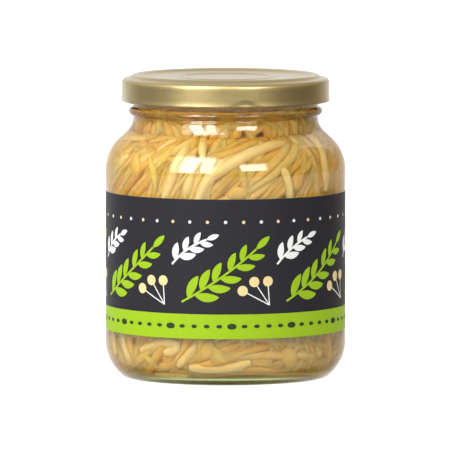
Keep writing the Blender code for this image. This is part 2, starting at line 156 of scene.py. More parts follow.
# Sprouts
SEED = 7
WALL_SPROUTS = 760
NECK_SPROUTS = 130
SPROUT_LENGTHS = (34.0 * MM, 58.0 * MM)
SHORT_LENGTHS = (14.0 * MM, 30.0 * MM)
FILL_LENGTHS = (24.0 * MM, 46.0 * MM)
SPROUT_RADII = (1.35 * MM, 1.85 * MM)
TUBE_SIDES = 8
SAMPLE_STEP = 0.9 * MM
SPROUT_CLEARANCE = 0.12 * MM
SQUASH = 0.5
DEEPEST = 6.5 * MM
# Painted shade: a sprout lying deeper in from the glass is coloured darker amber, up to DEEPEST in.
SHADE_TONE_PER_DEPTH = 0.05 / MM
# Painted shade: sprouts in the neck, just below the lid, are coloured darker.
LID_SHADE_TONE = 0.8
FILLING_SPROUTS = 460
FILL_DEPTH = 3.4 * MM
FILL_DRAWS = 8
NOT_COVERED = 99.0 * MM
BEHIND_LABEL = 0.3
CORE_DEPTH = 6.2 * MM
CELL = 0.6 * MM
DRAWS = 9
STEM_PASSES = 60
FRONT_PASSES = 6
FRONT_DEPTH = 3.4 * MM
WALL_LEANS = (30.0, 24.0)
FLOOR_LEANS = (45.0, 60.0)
FLOOR_STEMS_TOP = 20.0 * MM
NECK_LEANS = (65.0, 30.0)
FILL_NECK_LEANS = (62.0, 30.0)
MAGNIFIED = 0.92
LEAF_THICKNESS = 0.22 * MM
ROOT_HAIRS = 60

# Colours that a material mixes: flesh from its palest to its deepest, lime from its darker to its lighter. The
# flesh's deeper colours carry painted shade: of depth in the bunch, and near the lid.
FLESH_TONES = {
    "sprout_flesh": ((0.76, 0.555, 0.235), (0.70, 0.41, 0.08), (0.70, 0.31, 0.01)),
    "seed_flesh": ((0.72, 0.49, 0.15), (0.68, 0.41, 0.08), (0.58, 0.32, 0.03)),
    "leaf_yellow": ((0.86, 0.58, 0.15), (0.82, 0.52, 0.09), (0.74, 0.43, 0.04)),
    "root_thread": ((0.80, 0.62, 0.30), (0.70, 0.48, 0.18), (0.52, 0.30, 0.08)),
    # Painted shade: the core, deep in the bunch, is coloured deeper amber than the sprouts' flesh.
    "deep_amber": ((0.80, 0.46, 0.08), (0.72, 0.38, 0.05), (0.60, 0.28, 0.03)),
}
LIME = ((0.31, 0.51, 0.012), (0.345, 0.55, 0.016))

# Studio
LAMP_DISTANCE = 1.4
WARM_SIDE = (1.0, 0.90, 0.74)
CAMERA_FIELD = 0.1526
CAMERA_DISTANCE = 3.0
CAMERA_ELEVATION_DEG = 4.95
CAMERA_TARGET = (0.00015, 0.0, 0.0506)


def mesh_piece(name, points, faces, finishes, body, face_finish=None, outward=True):
    """A smooth mesh object that rides on a body of the frame."""
    mesh = bpy.data.meshes.new(name)
    mesh.from_pydata([tuple(p) for p in points], [], faces)
    for finish in finishes:
        mesh.materials.append(finish)
    if face_finish is not None:
        mesh.polygons.foreach_set("material_index", face_finish)
    if outward:
        bm = bmesh.new()
        bm.from_mesh(mesh)
        bmesh.ops.recalc_face_normals(bm, faces=bm.faces)
        bm.to_mesh(mesh)
        bm.free()
    mesh.shade_smooth()
    mesh.set_sharp_from_angle(angle=math.radians(50.0))
    made = bpy.data.objects.new(name, mesh)
    bpy.context.scene.collection.objects.link(made)
    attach(made, body)
    return made


def arc(centre, radius, start_deg, end_deg, steps):
    """Points on a circle in the profile's plane, with both ends."""
    angles = [math.radians(start_deg + (end_deg - start_deg) * i / steps) for i in range(steps + 1)]
    return [(centre[0] + radius * math.cos(angle), centre[1] + radius * math.sin(angle)) for angle in angles]


def shifted(profile, i, distance):
    """A profile's point, moved square to the profile. One on the axis stays on it."""
    r, z = profile[i]
    before, after = profile[max(i - 1, 0)], profile[min(i + 1, len(profile) - 1)]
    dr, dz = after[0] - before[0], after[1] - before[1]
    size = math.hypot(dr, dz)
    return r + distance * dz / size if r > 0.0 else 0.0, z - distance * dr / size


def grid_faces(rows, columns, closed=True, start=0):
    """Quads between rows of points, each row closed round or open."""
    faces = []
    for i in range(rows - 1):
        a = start + i * columns
        b = a + columns
        for k in range(columns if closed else columns - 1):
            n = (k + 1) % columns
            faces.append((a + k, a + n, b + n, b + k))
    return faces


def spun(profile, segments, closed=False, shape=None):
    """Points and faces of a profile spun round the axis. shape may move each point, given its angle."""
    points, rings = [], []
    for r, z in profile:
        if r < 1e-7:
            rings.append([len(points)] * segments)
            points.append((0.0, 0.0, z))
            continue
        rings.append(list(range(len(points), len(points) + segments)))
        for k in range(segments):
            angle = TAU * k / segments
            r_here, z_here = shape(r, z, angle) if shape else (r, z)
            points.append((r_here * math.cos(angle), r_here * math.sin(angle), z_here))
    faces = []
    for a, b in zip(rings, rings[1:] + (rings[:1] if closed else [])):
        for k in range(segments):
            n = (k + 1) % segments
            faces.append(tuple(dict.fromkeys((a[k], a[n], b[n], b[k]))))
    return points, faces


def joined(parts):
    """Several (points, faces) as one."""
    points, faces = [], []
    for some_points, some_faces in parts:
        start = len(points)
        points.extend(some_points)
        faces.extend(tuple(start + i for i in face) for face in some_faces)
    return points, faces


# Materials


def new_material(name):
    made = bpy.data.materials.new(name)
    made.use_nodes = True
    return made, made.node_tree, made.node_tree.nodes["Principled BSDF"]


def node(tree, kind, **values):
    made = tree.nodes.new(kind)
    for key, value in values.items():
        setattr(made, key, value)
    return made


def set_inputs(made, **values):
    """Sets a node's own sockets by name, with _ for each space in it."""
    for name, value in values.items():
        made.inputs[name.replace("_", " ")].default_value = value
    return made


def attribute(tree, name):
    """A value that the mesh gives for each of its points."""
    return node(tree, "ShaderNodeAttribute", attribute_name=name).outputs["Fac"]


def mark(made, name, values):
    """Gives the mesh's points the values that its material reads."""
    data = made.data.attributes.new(name, "FLOAT", "POINT").data
    data.foreach_set("value", np.array(values, np.float32))


def noise(tree, scale, detail=3.0):
    """Noise over the object's own coordinates, its scale in features per metre."""
    place = node(tree, "ShaderNodeTexCoord")
    made = set_inputs(node(tree, "ShaderNodeTexNoise"), Scale=scale, Detail=detail, Roughness=0.55)
    tree.links.new(place.outputs["Object"], made.inputs["Vector"])
    return made.outputs["Fac"]


def ramp(tree, factor, stops):
    """A colour ramp on a factor, from (position, colour) stops."""
    made = node(tree, "ShaderNodeValToRGB")
    elements = made.color_ramp.elements
    while len(elements) < len(stops):
        elements.new(0.5)
    for element, (position, colour) in zip(elements, stops):
        element.position = position
        element.color = (*colour, 1.0)
    tree.links.new(factor, made.inputs["Fac"])
    return made.outputs["Color"]


def map_range(tree, value, low, high, to_low, to_high):
    made = node(tree, "ShaderNodeMapRange")
    set_inputs(made, From_Min=low, From_Max=high, To_Min=to_low, To_Max=to_high)
    tree.links.new(value, made.inputs["Value"])
    return made.outputs["Result"]


def combined(tree, operation, first, second):
    made = node(tree, "ShaderNodeMath", operation=operation)
    tree.links.new(first, made.inputs[0])
    tree.links.new(second, made.inputs[1])
    return made.outputs[0]


def bump(tree, shader, height, strength, distance):
    made = set_inputs(node(tree, "ShaderNodeBump"), Strength=strength, Distance=distance)
    tree.links.new(height, made.inputs["Height"])
    tree.links.new(made.outputs["Normal"], shader.inputs["Normal"])


def vary_colour(tree, shader, scale, detail, first, second, edge=0.3):
    """Lets the colour wander between two."""
    colour = ramp(tree, noise(tree, scale, detail), ((edge, first), (1.0 - edge, second)))
    tree.links.new(colour, shader.inputs["Base Color"])


def vary_roughness(tree, shader, scale, low, high):
    rough = map_range(tree, noise(tree, scale), 0.3, 0.7, low, high)
    tree.links.new(rough, shader.inputs["Roughness"])


def let_lamps_through(tree, shader, tint):
    """Glass and liquid pass lamp light straight on, so that lamps light what they hold."""
    path = node(tree, "ShaderNodeLightPath")
    clear = set_inputs(node(tree, "ShaderNodeBsdfTransparent"), Color=(*tint, 1.0))
    mix = node(tree, "ShaderNodeMixShader")
    tree.links.new(path.outputs["Is Shadow Ray"], mix.inputs["Fac"])
    tree.links.new(shader.outputs["BSDF"], mix.inputs[1])
    tree.links.new(clear.outputs["BSDF"], mix.inputs[2])
    tree.links.new(mix.outputs["Shader"], tree.nodes["Material Output"].inputs["Surface"])


def absorb(tree, colour, density):
    """Tints light by its way through the body."""
    made = set_inputs(node(tree, "ShaderNodeVolumeAbsorption"), Color=(*colour, 1.0), Density=density)
    tree.links.new(made.outputs["Volume"], tree.nodes["Material Output"].inputs["Volume"])


def glass_material():
    """Clear flint glass, faintly green in depth. Its mesh says where it shines and where it is frosted."""
    made, tree, shader = new_material("clear_glass")
    frost = attribute(tree, "frost")
    tree.links.new(ramp(tree, frost, FROST_TINTS), shader.inputs["Base Color"])
    tree.links.new(map_range(tree, frost, 0.0, 1.0, 0.0, 0.5), shader.inputs["Roughness"])
    tree.links.new(attribute(tree, "shine"), shader.inputs["Specular IOR Level"])
    set_inputs(shader, IOR=1.5, Transmission_Weight=1.0)
    let_lamps_through(tree, shader, (0.97, 0.985, 0.97))
    absorb(tree, (0.55, 0.86, 0.50), 22.0)
    return made


def brine_material():
    made, tree, shader = new_material("brine_liquid")
    set_inputs(shader, Base_Color=(1.0, 1.0, 1.0, 1.0), Roughness=0.0, IOR=1.333)
    set_inputs(shader, Specular_IOR_Level=0.02, Transmission_Weight=1.0)
    let_lamps_through(tree, shader, (1.0, 1.0, 1.0))
    absorb(tree, (0.93, 0.67, 0.02), 170.0)
    return made


def flesh_material(name, pale, mid, deep):
    """Moist plant flesh. Its tone comes from the mesh, where painted shade is added to each sprout's own tone,
    with fine mottling.
    """
    made, tree, shader = new_material(name)
    mottle = map_range(tree, noise(tree, 420.0, detail=4.0), 0.3, 0.7, -0.16, 0.16)
    tone = combined(tree, "ADD", attribute(tree, "tone"), mottle)
    tree.links.new(ramp(tree, tone, ((0.0, pale), (0.5, mid), (1.0, deep))), shader.inputs["Base Color"])
    set_inputs(shader, Roughness=0.38, Specular_IOR_Level=0.15, Subsurface_Weight=0.5)
    set_inputs(shader, Subsurface_Radius=(1.0, 0.7, 0.3), Subsurface_Scale=2.0 * MM)
    bump(tree, shader, noise(tree, 1500.0, detail=2.0), 0.2, 0.03 * MM)
    return made


def gold_material():
    """Satin gold lacquer: warm metal under a clear coat, with a rolled finish's faint unevenness."""
    made, tree, shader = new_material("gold_lacquer")
    vary_colour(tree, shader, 1500.0, 2.0, (0.74, 0.58, 0.25), (0.79, 0.62, 0.28))
    vary_roughness(tree, shader, 500.0, 0.39, 0.45)
    set_inputs(shader, Metallic=1.0, Coat_Weight=1.0, Coat_Roughness=0.2)
    return made


def paper_material(name, dark, light, roughness=0.42):
    """Coated paper, printed one colour, with the faint unevenness of ink and fibre."""
    made, tree, shader = new_material(name)
    vary_colour(tree, shader, 1800.0, 5.0, dark, light, edge=0.35)
    vary_roughness(tree, shader, 700.0, roughness - 0.04, roughness + 0.06)
    set_inputs(shader, Specular_IOR_Level=0.12)
    bump(tree, shader, noise(tree, 2500.0, detail=3.0), 0.2, 0.015 * MM)
    return made


def plain_material(name, colour, roughness):
    made, tree, shader = new_material(name)
    vary_colour(tree, shader, 600.0, 3.0, tuple(0.93 * c for c in colour), colour)
    set_inputs(shader, Roughness=roughness)
    return made


# Glass jar


def outer_wall():
    """The jar's outside, from the foot's outer edge up to the top of its rim."""
    heel = arc((BODY_RADIUS - HEEL_RADIUS, HEEL_TOP), HEEL_RADIUS, -HEEL_TURN_DEG, 0.0, 16)
    recess = LABEL_RADIUS - PAPER_THICKNESS - 0.02 * MM
    panel = [
        (BODY_RADIUS, LABEL_BOTTOM - 1.6 * MM),
        (BODY_RADIUS - 0.04 * MM, LABEL_BOTTOM - 1.0 * MM),
        (recess + 0.04 * MM, LABEL_BOTTOM - 0.5 * MM),
        (recess, LABEL_BOTTOM),
        (recess, LABEL_TOP),
        (recess + 0.04 * MM, LABEL_TOP + 0.5 * MM),
        (BODY_RADIUS - 0.1 * MM, LABEL_TOP + 1.4 * MM),
        (BODY_RADIUS, LABEL_TOP + 3.4 * MM),
    ]
    shoulder = arc(SHOULDER_CENTRE, SHOULDER_RADIUS, 0.0, SHOULDER_TURN_DEG, 14)
    fillet = arc(FILLET_CENTRE, NECK_FILLET_RADIUS, 180.0 + SHOULDER_TURN_DEG, 180.0, 10)
    bead = arc((NECK_RADIUS + BEAD_OUT, BEAD_HEIGHT), BEAD_RADIUS, -84.0, 84.0, 12)
    finish = [(NECK_RADIUS, BEAD_HEIGHT + 1.15 * BEAD_RADIUS)]
    rim = arc((NECK_RADIUS - RIM_ROUNDING, RIM_TOP - RIM_ROUNDING), RIM_ROUNDING, 0.0, 90.0, 8)
    foot = [(FOOT_OUTER_RADIUS, 0.0), (FOOT_OUTER_RADIUS + 0.7 * MM, 0.08 * MM)]
    return foot + heel + panel + shoulder + fillet + bead + finish + rim


def inner_wall():
    """The jar's inside, from the middle of its floor up to the mouth."""
    shares = [i / 6.0 for i in range(6)]
    floor = [(INNER_HEEL_CENTRE[0] * s, FLOOR_HEIGHT + FLOOR_RISE * (1.0 - s * s)) for s in shares]
    heel = arc(INNER_HEEL_CENTRE, INNER_HEEL_RADIUS, -90.0, 0.0, 14)
    wall = [(INSIDE_RADIUS, MM * z) for z in range(20, 70, 6)]
    shoulder = arc(SHOULDER_CENTRE, SHOULDER_RADIUS - WALL, 0.0, SHOULDER_TURN_DEG, 12)
    fillet = arc(FILLET_CENTRE, INNER_FILLET_RADIUS, 180.0 + SHOULDER_TURN_DEG, 180.0, 10)
    mouth_centre = (MOUTH_RADIUS + MOUTH_ROUNDING, RIM_TOP - MOUTH_ROUNDING)
    mouth = arc(mouth_centre, MOUTH_ROUNDING, 180.0, 90.0, 6)
    return floor + heel + wall + shoulder + fillet + mouth


def thread_lift(angle):
    """The height of the thread's underside at an angle, or None between the threads."""
    pitch = TAU / LUGS
    start = math.radians(FIRST_LUG_DEG - THREAD_BEHIND_LUG_DEG)
    span = math.radians(THREAD_BEHIND_LUG_DEG + THREAD_AHEAD_OF_LUG_DEG)
    along = (angle - start) % pitch
    if along > span:
        return None, 0.0
    share = along / span
    ends = min(1.0, share * 9.0, (1.0 - share) * 9.0)
    return THREAD_LOW + THREAD_RISE * share, ends


def shape_glass(r, z, angle):
    """Raises the threads on the mouth, and the fine ribs low on the heel."""
    if r > NECK_RADIUS - 0.01 * MM and BEAD_HEIGHT + 1.2 * BEAD_RADIUS < z < RIM_TOP - RIM_ROUNDING:
        low, ends = thread_lift(angle)
        if low is not None:
            across = (z - low) / THREAD_THICKNESS
            if 0.0 < across < 1.0:
                r += (THREAD_RADIUS - NECK_RADIUS) * ends * math.sqrt(math.sin(math.pi * across))
    if r > FOOT_OUTER_RADIUS + 1.0 * MM and z < RIBS_TOP and round(angle * GLASS_SEGMENTS / TAU) % 2:
        r -= RIB_DEPTH
    return r, z


def make_glass(finish):
    """The jar. Its inside below the brine's level hardly shines, as glass does under liquid."""
    outside = outer_wall()
    threads = [(NECK_RADIUS, z * MM) for z in np.arange(92.6, 98.8, 0.22)]
    split = next(i for i, (_, z) in enumerate(outside) if z > threads[-1][1])
    outside = outside[:split] + threads + outside[split:]
    bottom = [(0.25 * i * PUSH_UP_EDGE_RADIUS, PUSH_UP_HEIGHT) for i in range(4)]
    bottom += [(PUSH_UP_EDGE_RADIUS, PUSH_UP_EDGE_HEIGHT), (FOOT_INNER_RADIUS, 0.0)]
    inside = list(reversed(inner_wall()))
    points, faces = spun(bottom + outside + inside, GLASS_SEGMENTS, shape=shape_glass)
    glass = mesh_piece("glass_jar_fine", points, faces, [finish], "jar")
    number = np.arange(len(points))
    dry = 1 + (len(bottom + outside) - 1 + sum(z > BRINE_LEVEL for _, z in inside)) * GLASS_SEGMENTS
    mark(glass, "shine", np.where(number < dry, DRY_SHINE, WET_SHINE))
    under = 1 + (len(bottom) + 1) * GLASS_SEGMENTS
    frost = np.where(number < under, UNDERSIDE_FROST, 0.0)
    foot_edge = (number - 1) // GLASS_SEGMENTS == len(bottom) - 1
    frost[foot_edge & (number % 2 == 0)] = 1.0
    mark(glass, "frost", frost)
    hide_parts("glass_jar")


# The inside's coordinates


class Bed:
    """The inner wall as a road: where a place on it is, and which way is out of the jar there."""

    def __init__(self, profile, top):
        profile = [p for p in profile if p[1] <= top]
        rz = np.array(profile + [(MOUTH_RADIUS, top)])
        steps = np.hypot(*np.diff(rz, axis=0).T)
        keep = np.concatenate([[True], steps > 1e-6])
        rz = rz[keep]
        self.lengths = np.concatenate([[0.0], np.cumsum(np.hypot(*np.diff(rz, axis=0).T))])
        self.total = float(self.lengths[-1])
        self.r, self.z = rz.T
        self.wall_start = float(np.interp(FLOOR_HEIGHT + 0.2 * MM, self.z[6:], self.lengths[6:]))

    def at(self, along):
        along = np.clip(np.abs(along), 0.0, self.total)
        return np.interp(along, self.lengths, self.r), np.interp(along, self.lengths, self.z)

    def outward(self, along):
        step = 1.2 * MM
        r0, z0 = self.at(np.maximum(along - step, 0.0))
        r1, z1 = self.at(np.minimum(along + step, self.total))
        size = np.hypot(r1 - r0, z1 - z0)
        return (z1 - z0) / size, -(r1 - r0) / size

    def along_at_height(self, height):
        """The distance along the profile, on the wall, at a height."""
        return np.interp(height, self.z[6:], self.lengths[6:])

    def places(self, along, azimuth, depth):
        """Points in space, and the directions out of the jar there, of arrays of coordinates."""
        r, z = self.at(along)
        nr, nz = self.outward(along)
        inner_r = np.maximum(r - nr * depth, 0.0)
        angle = azimuth - 0.5 * math.pi
        points = np.stack([inner_r * np.cos(angle), inner_r * np.sin(angle), z - nz * depth], axis=1)
        normals = np.stack([nr * np.cos(angle), nr * np.sin(angle), nz], axis=1)
        return points, normals


class Stack:
    """How deep the jar's inside is filled, over the road's cells. Each sprout lies on those before it."""

    def __init__(self, bed):
        self.bed = bed
        self.rows = int(bed.total / CELL) + 2
        self.columns = 400
        self.depth = np.zeros((self.rows, self.columns))
        self.cover = np.full((self.rows, self.columns), NOT_COVERED)
        self.reach = np.arange(-3, 4) * CELL

    def cells(self, along, azimuth, radius):
        """For each station, the cells under its tube and how far the tube stands out over each."""
        a, b = np.meshgrid(self.reach, self.reach)
        a, b = a.ravel(), b.ravel()
        near = a * a + b * b < radius * radius
        a, b = a[near], b[near]
        ring = np.maximum(self.bed.at(along)[0], 8.0 * MM)
        rows = np.rint((np.abs(along)[:, None] + a) / CELL).astype(int).clip(0, self.rows - 1)
        turns = (azimuth[:, None] + b / ring[:, None]) / TAU
        columns = np.rint(turns * self.columns).astype(int) % self.columns
        return rows, columns, np.sqrt(radius * radius - a * a - b * b)[None, :]

    def needed(self, along, azimuth, radius):
        """The depth of the tube's middle line, so that it lies on what is there, as a stiff stem would."""
        rows, columns, stands = self.cells(along, azimuth, radius)
        raw = (self.depth[rows, columns] + stands).max(axis=1)
        wide = 7
        padded = np.pad(raw, wide, mode="edge")
        near = np.array([padded[i : i + len(raw)] for i in range(2 * wide + 1)])
        lifted = near.mean(axis=0) + SQUASH * (near.max(axis=0) - near.mean(axis=0))
        return np.maximum(lifted, radius)

    def lay(self, along, azimuth, radius, middle):
        rows, columns, stands = self.cells(along, azimuth, radius)
        np.maximum.at(self.depth, (rows, columns), middle[:, None] + stands)
        np.minimum.at(self.cover, (rows, columns), middle[:, None] - stands)

    def bare(self, along, azimuth, radius):
        """How many cells under a tube show nothing near the glass yet."""
        rows, columns, _ = self.cells(along, azimuth, radius)
        cells = np.unique(rows * self.columns + columns)
        return int((self.cover.ravel()[cells] > FILL_DEPTH).sum())


# Sprouts: growing meshes


class Growth:
    """Points, faces and tones of many small things that end up as one mesh."""

    def __init__(self):
        self.points, self.faces, self.tones = [], [], []

    def add(self, points, faces, tones):
        start = len(self.points)
        self.points.extend(points)
        self.faces.extend(tuple(start + i for i in face) for face in faces)
        self.tones.extend(tones)

    def piece(self, name, finish):
        made = mesh_piece(name, self.points, self.faces, [finish], "jar", outward=False)
        mark(made, "tone", self.tones)
        return made


def frame_along(points, normals):
    """The way along a line at each of its points, and the way across it."""
    runs = np.gradient(points, axis=0)
    runs /= np.linalg.norm(runs, axis=1, keepdims=True)
    across = np.cross(runs, normals)
    across /= np.linalg.norm(across, axis=1, keepdims=True)
    return runs, across


def tube(growth, points, normals, radii, tones, flat=1.0):
    """A closed tube along points, its first sides towards the normals."""
    runs, across = frame_along(points, normals)
    ups = np.cross(across, runs)
    angles = np.arange(TUBE_SIDES) * TAU / TUBE_SIDES
    rings = (
        points[:, None, :]
        + ups[:, None, :] * (np.cos(angles) * flat)[None, :, None] * radii[:, None, None]
        + across[:, None, :] * np.sin(angles)[None, :, None] * radii[:, None, None]
    )
    verts = list(map(tuple, rings.reshape(-1, 3)))
    verts.append(tuple(points[0] - runs[0] * radii[0] * 0.35))
    verts.append(tuple(points[-1] + runs[-1] * radii[-1] * 0.35))
    faces = grid_faces(len(points), TUBE_SIDES)
    last = (len(points) - 1) * TUBE_SIDES
    for k in range(TUBE_SIDES):
        n = (k + 1) % TUBE_SIDES
        faces.append((len(verts) - 2, n, k))
        faces.append((len(verts) - 1, last + k, last + n))
    growth.add(verts, faces, np.repeat(tones, TUBE_SIDES).tolist() + [tones[0], tones[-1]])


def ellipsoid(growth, centre, along, across, up, sizes, tone):
    """A seed half: an ellipsoid flattened on its lower side."""
    turns, tiers = 12, 8
    verts = []
    for i in range(1, tiers):
        tip = math.pi * i / tiers
        for k in range(turns):
            turn = TAU * k / turns
            x, y, z = math.cos(tip), math.sin(tip) * math.cos(turn), math.sin(tip) * math.sin(turn)
            z = z if z > 0.0 else z * 0.35
            verts.append(tuple(centre + along * x * sizes[0] + across * y * sizes[1] + up * z * sizes[2]))
    verts.append(tuple(centre + along * sizes[0]))
    verts.append(tuple(centre - along * sizes[0]))
    faces = [(a, d, c, b) for a, b, c, d in grid_faces(tiers - 1, turns)]
    last = (tiers - 2) * turns
    for k in range(turns):
        n = (k + 1) % turns
        faces.append((len(verts) - 2, k, n))
        faces.append((len(verts) - 1, last + n, last + k))
    growth.add(verts, faces, [tone] * len(verts))


def blade(growth, points, normals, width, tone):
    """A small leaf along points: a pointed strip, cupped a little, with a real thickness."""
    across = frame_along(points, normals)[1]
    count = len(points)
    shares = np.linspace(0.0, 1.0, count)
    half = width * np.sin(math.pi * np.clip(shares * 0.94 + 0.04, 0.0, 1.0)) ** 0.8
    lanes = (-1.0, -0.5, 0.0, 0.5, 1.0)
    wide = len(lanes)
    low = count * wide
    verts = []
    for side in (1.0, -1.0):
        for i in range(count):
            for lane in lanes:
                lift = 0.35 * width * lane * lane + side * 0.5 * LEAF_THICKNESS * (1.0 - 0.7 * abs(lane))
                verts.append(tuple(points[i] + across[i] * half[i] * lane - normals[i] * lift))
    faces = [face[::-1] for face in grid_faces(count, wide, closed=False)]
    faces += grid_faces(count, wide, closed=False, start=low)
    rim = [i * wide for i in range(count)] + [(count - 1) * wide + k for k in range(1, wide)]
    rim += [i * wide + wide - 1 for i in reversed(range(count - 1))] + list(reversed(range(1, wide - 1)))
    faces += [(a, b, low + b, low + a) for a, b in zip(rim, rim[1:] + rim[:1])]
    growth.add(verts, faces, [tone] * len(verts))


def stem_radii(count, radius, rooted, headed, rng):
    """How thick the stem is from its head end to its root end."""
    shares = np.linspace(0.0, 1.0, count)
    radii = radius * (1.0 + 0.06 * np.sin(shares * rng.uniform(6.0, 14.0) + rng.uniform(0.0, TAU)))
    if headed:
        radii *= 0.72 + 0.28 * np.clip(shares / 0.18, 0.0, 1.0)
    if rooted:
        fade = np.clip((shares - 0.66) / 0.2, 0.0, 1.0)
        radii = radii * (1.0 - fade) + 0.33 * MM * fade
        radii *= 1.0 - 0.45 * np.clip((shares - 0.86) / 0.14, 0.0, 1.0)
    ends = np.minimum(shares, 1.0 - shares) * count
    return radii * np.clip(0.62 + 0.4 * ends, 0.0, 1.0)


def painted_shade_near_lid(heights):
    """Painted shade: the sprouts are coloured darker in the jar's neck, just below the lid."""
    return LID_SHADE_TONE * np.clip((heights - 85.0 * MM) / (6.0 * MM), 0.0, 1.0)


def straightened(points, passes):
    """The line with its bends eased, as a stiff stem would have them. Its ends stay."""
    points = points.copy()
    for _ in range(passes):
        points[1:-1] = 0.25 * points[:-2] + 0.5 * points[1:-1] + 0.25 * points[2:]
    return points


def thinned(count, fewest):
    """Which of a line's points its tube keeps, with both ends."""
    return np.linspace(0, count - 1, max(fewest, count // 2)).astype(int)


def pushed(r, z, centre, limit, picks):
    """The points that picks(dr, dz, away) chooses, moved to a limit from a circle's centre."""
    dr, dz = r - centre[0], z - centre[1]
    away = np.hypot(dr, dz)
    out = picks(dr, dz, away)
    scale = limit / np.maximum(away, 1e-9)
    return np.where(out, centre[0] + dr * scale, r), np.where(out, centre[1] + dz * scale, z)


def kept_inside(points, clear):
    """The points, moved in where they are nearer to the glass than a clearance."""
    old_r = np.hypot(points[:, 0], points[:, 1])
    floor = FLOOR_HEIGHT + FLOOR_RISE * (1.0 - np.minimum(old_r / INSIDE_RADIUS, 1.0) ** 2)
    r, z = old_r, np.maximum(points[:, 2], floor + clear)
    limit = INNER_HEEL_RADIUS - clear

    def below_heel(dr, dz, away):
        return (dr > 0.0) & (dz < 0.0) & (away > limit)

    r, z = pushed(r, z, INNER_HEEL_CENTRE, limit, below_heel)
    reach = SHOULDER_RADIUS - WALL - clear

    def past_shoulder(dr, dz, away):
        return (dr > 0.0) & (dz > 0.0) & (away > reach)

    r, z = pushed(r, z, SHOULDER_CENTRE, reach, past_shoulder)

    def near_fillet(dr, dz, away):
        low = dz > -0.72 * INNER_FILLET_RADIUS
        return low & (dz < 0.0) & (dr < 0.0) & (away < INNER_FILLET_RADIUS + clear)

    r, z = pushed(r, z, FILLET_CENTRE, INNER_FILLET_RADIUS + clear, near_fillet)
    r = np.where(z >= NECK_FILLET_TOP, np.minimum(r, MOUTH_RADIUS - clear), r)
    scale = np.minimum(r, INSIDE_RADIUS - clear) / np.maximum(old_r, 1e-9)
    return np.stack([points[:, 0] * scale, points[:, 1] * scale, z], axis=1)


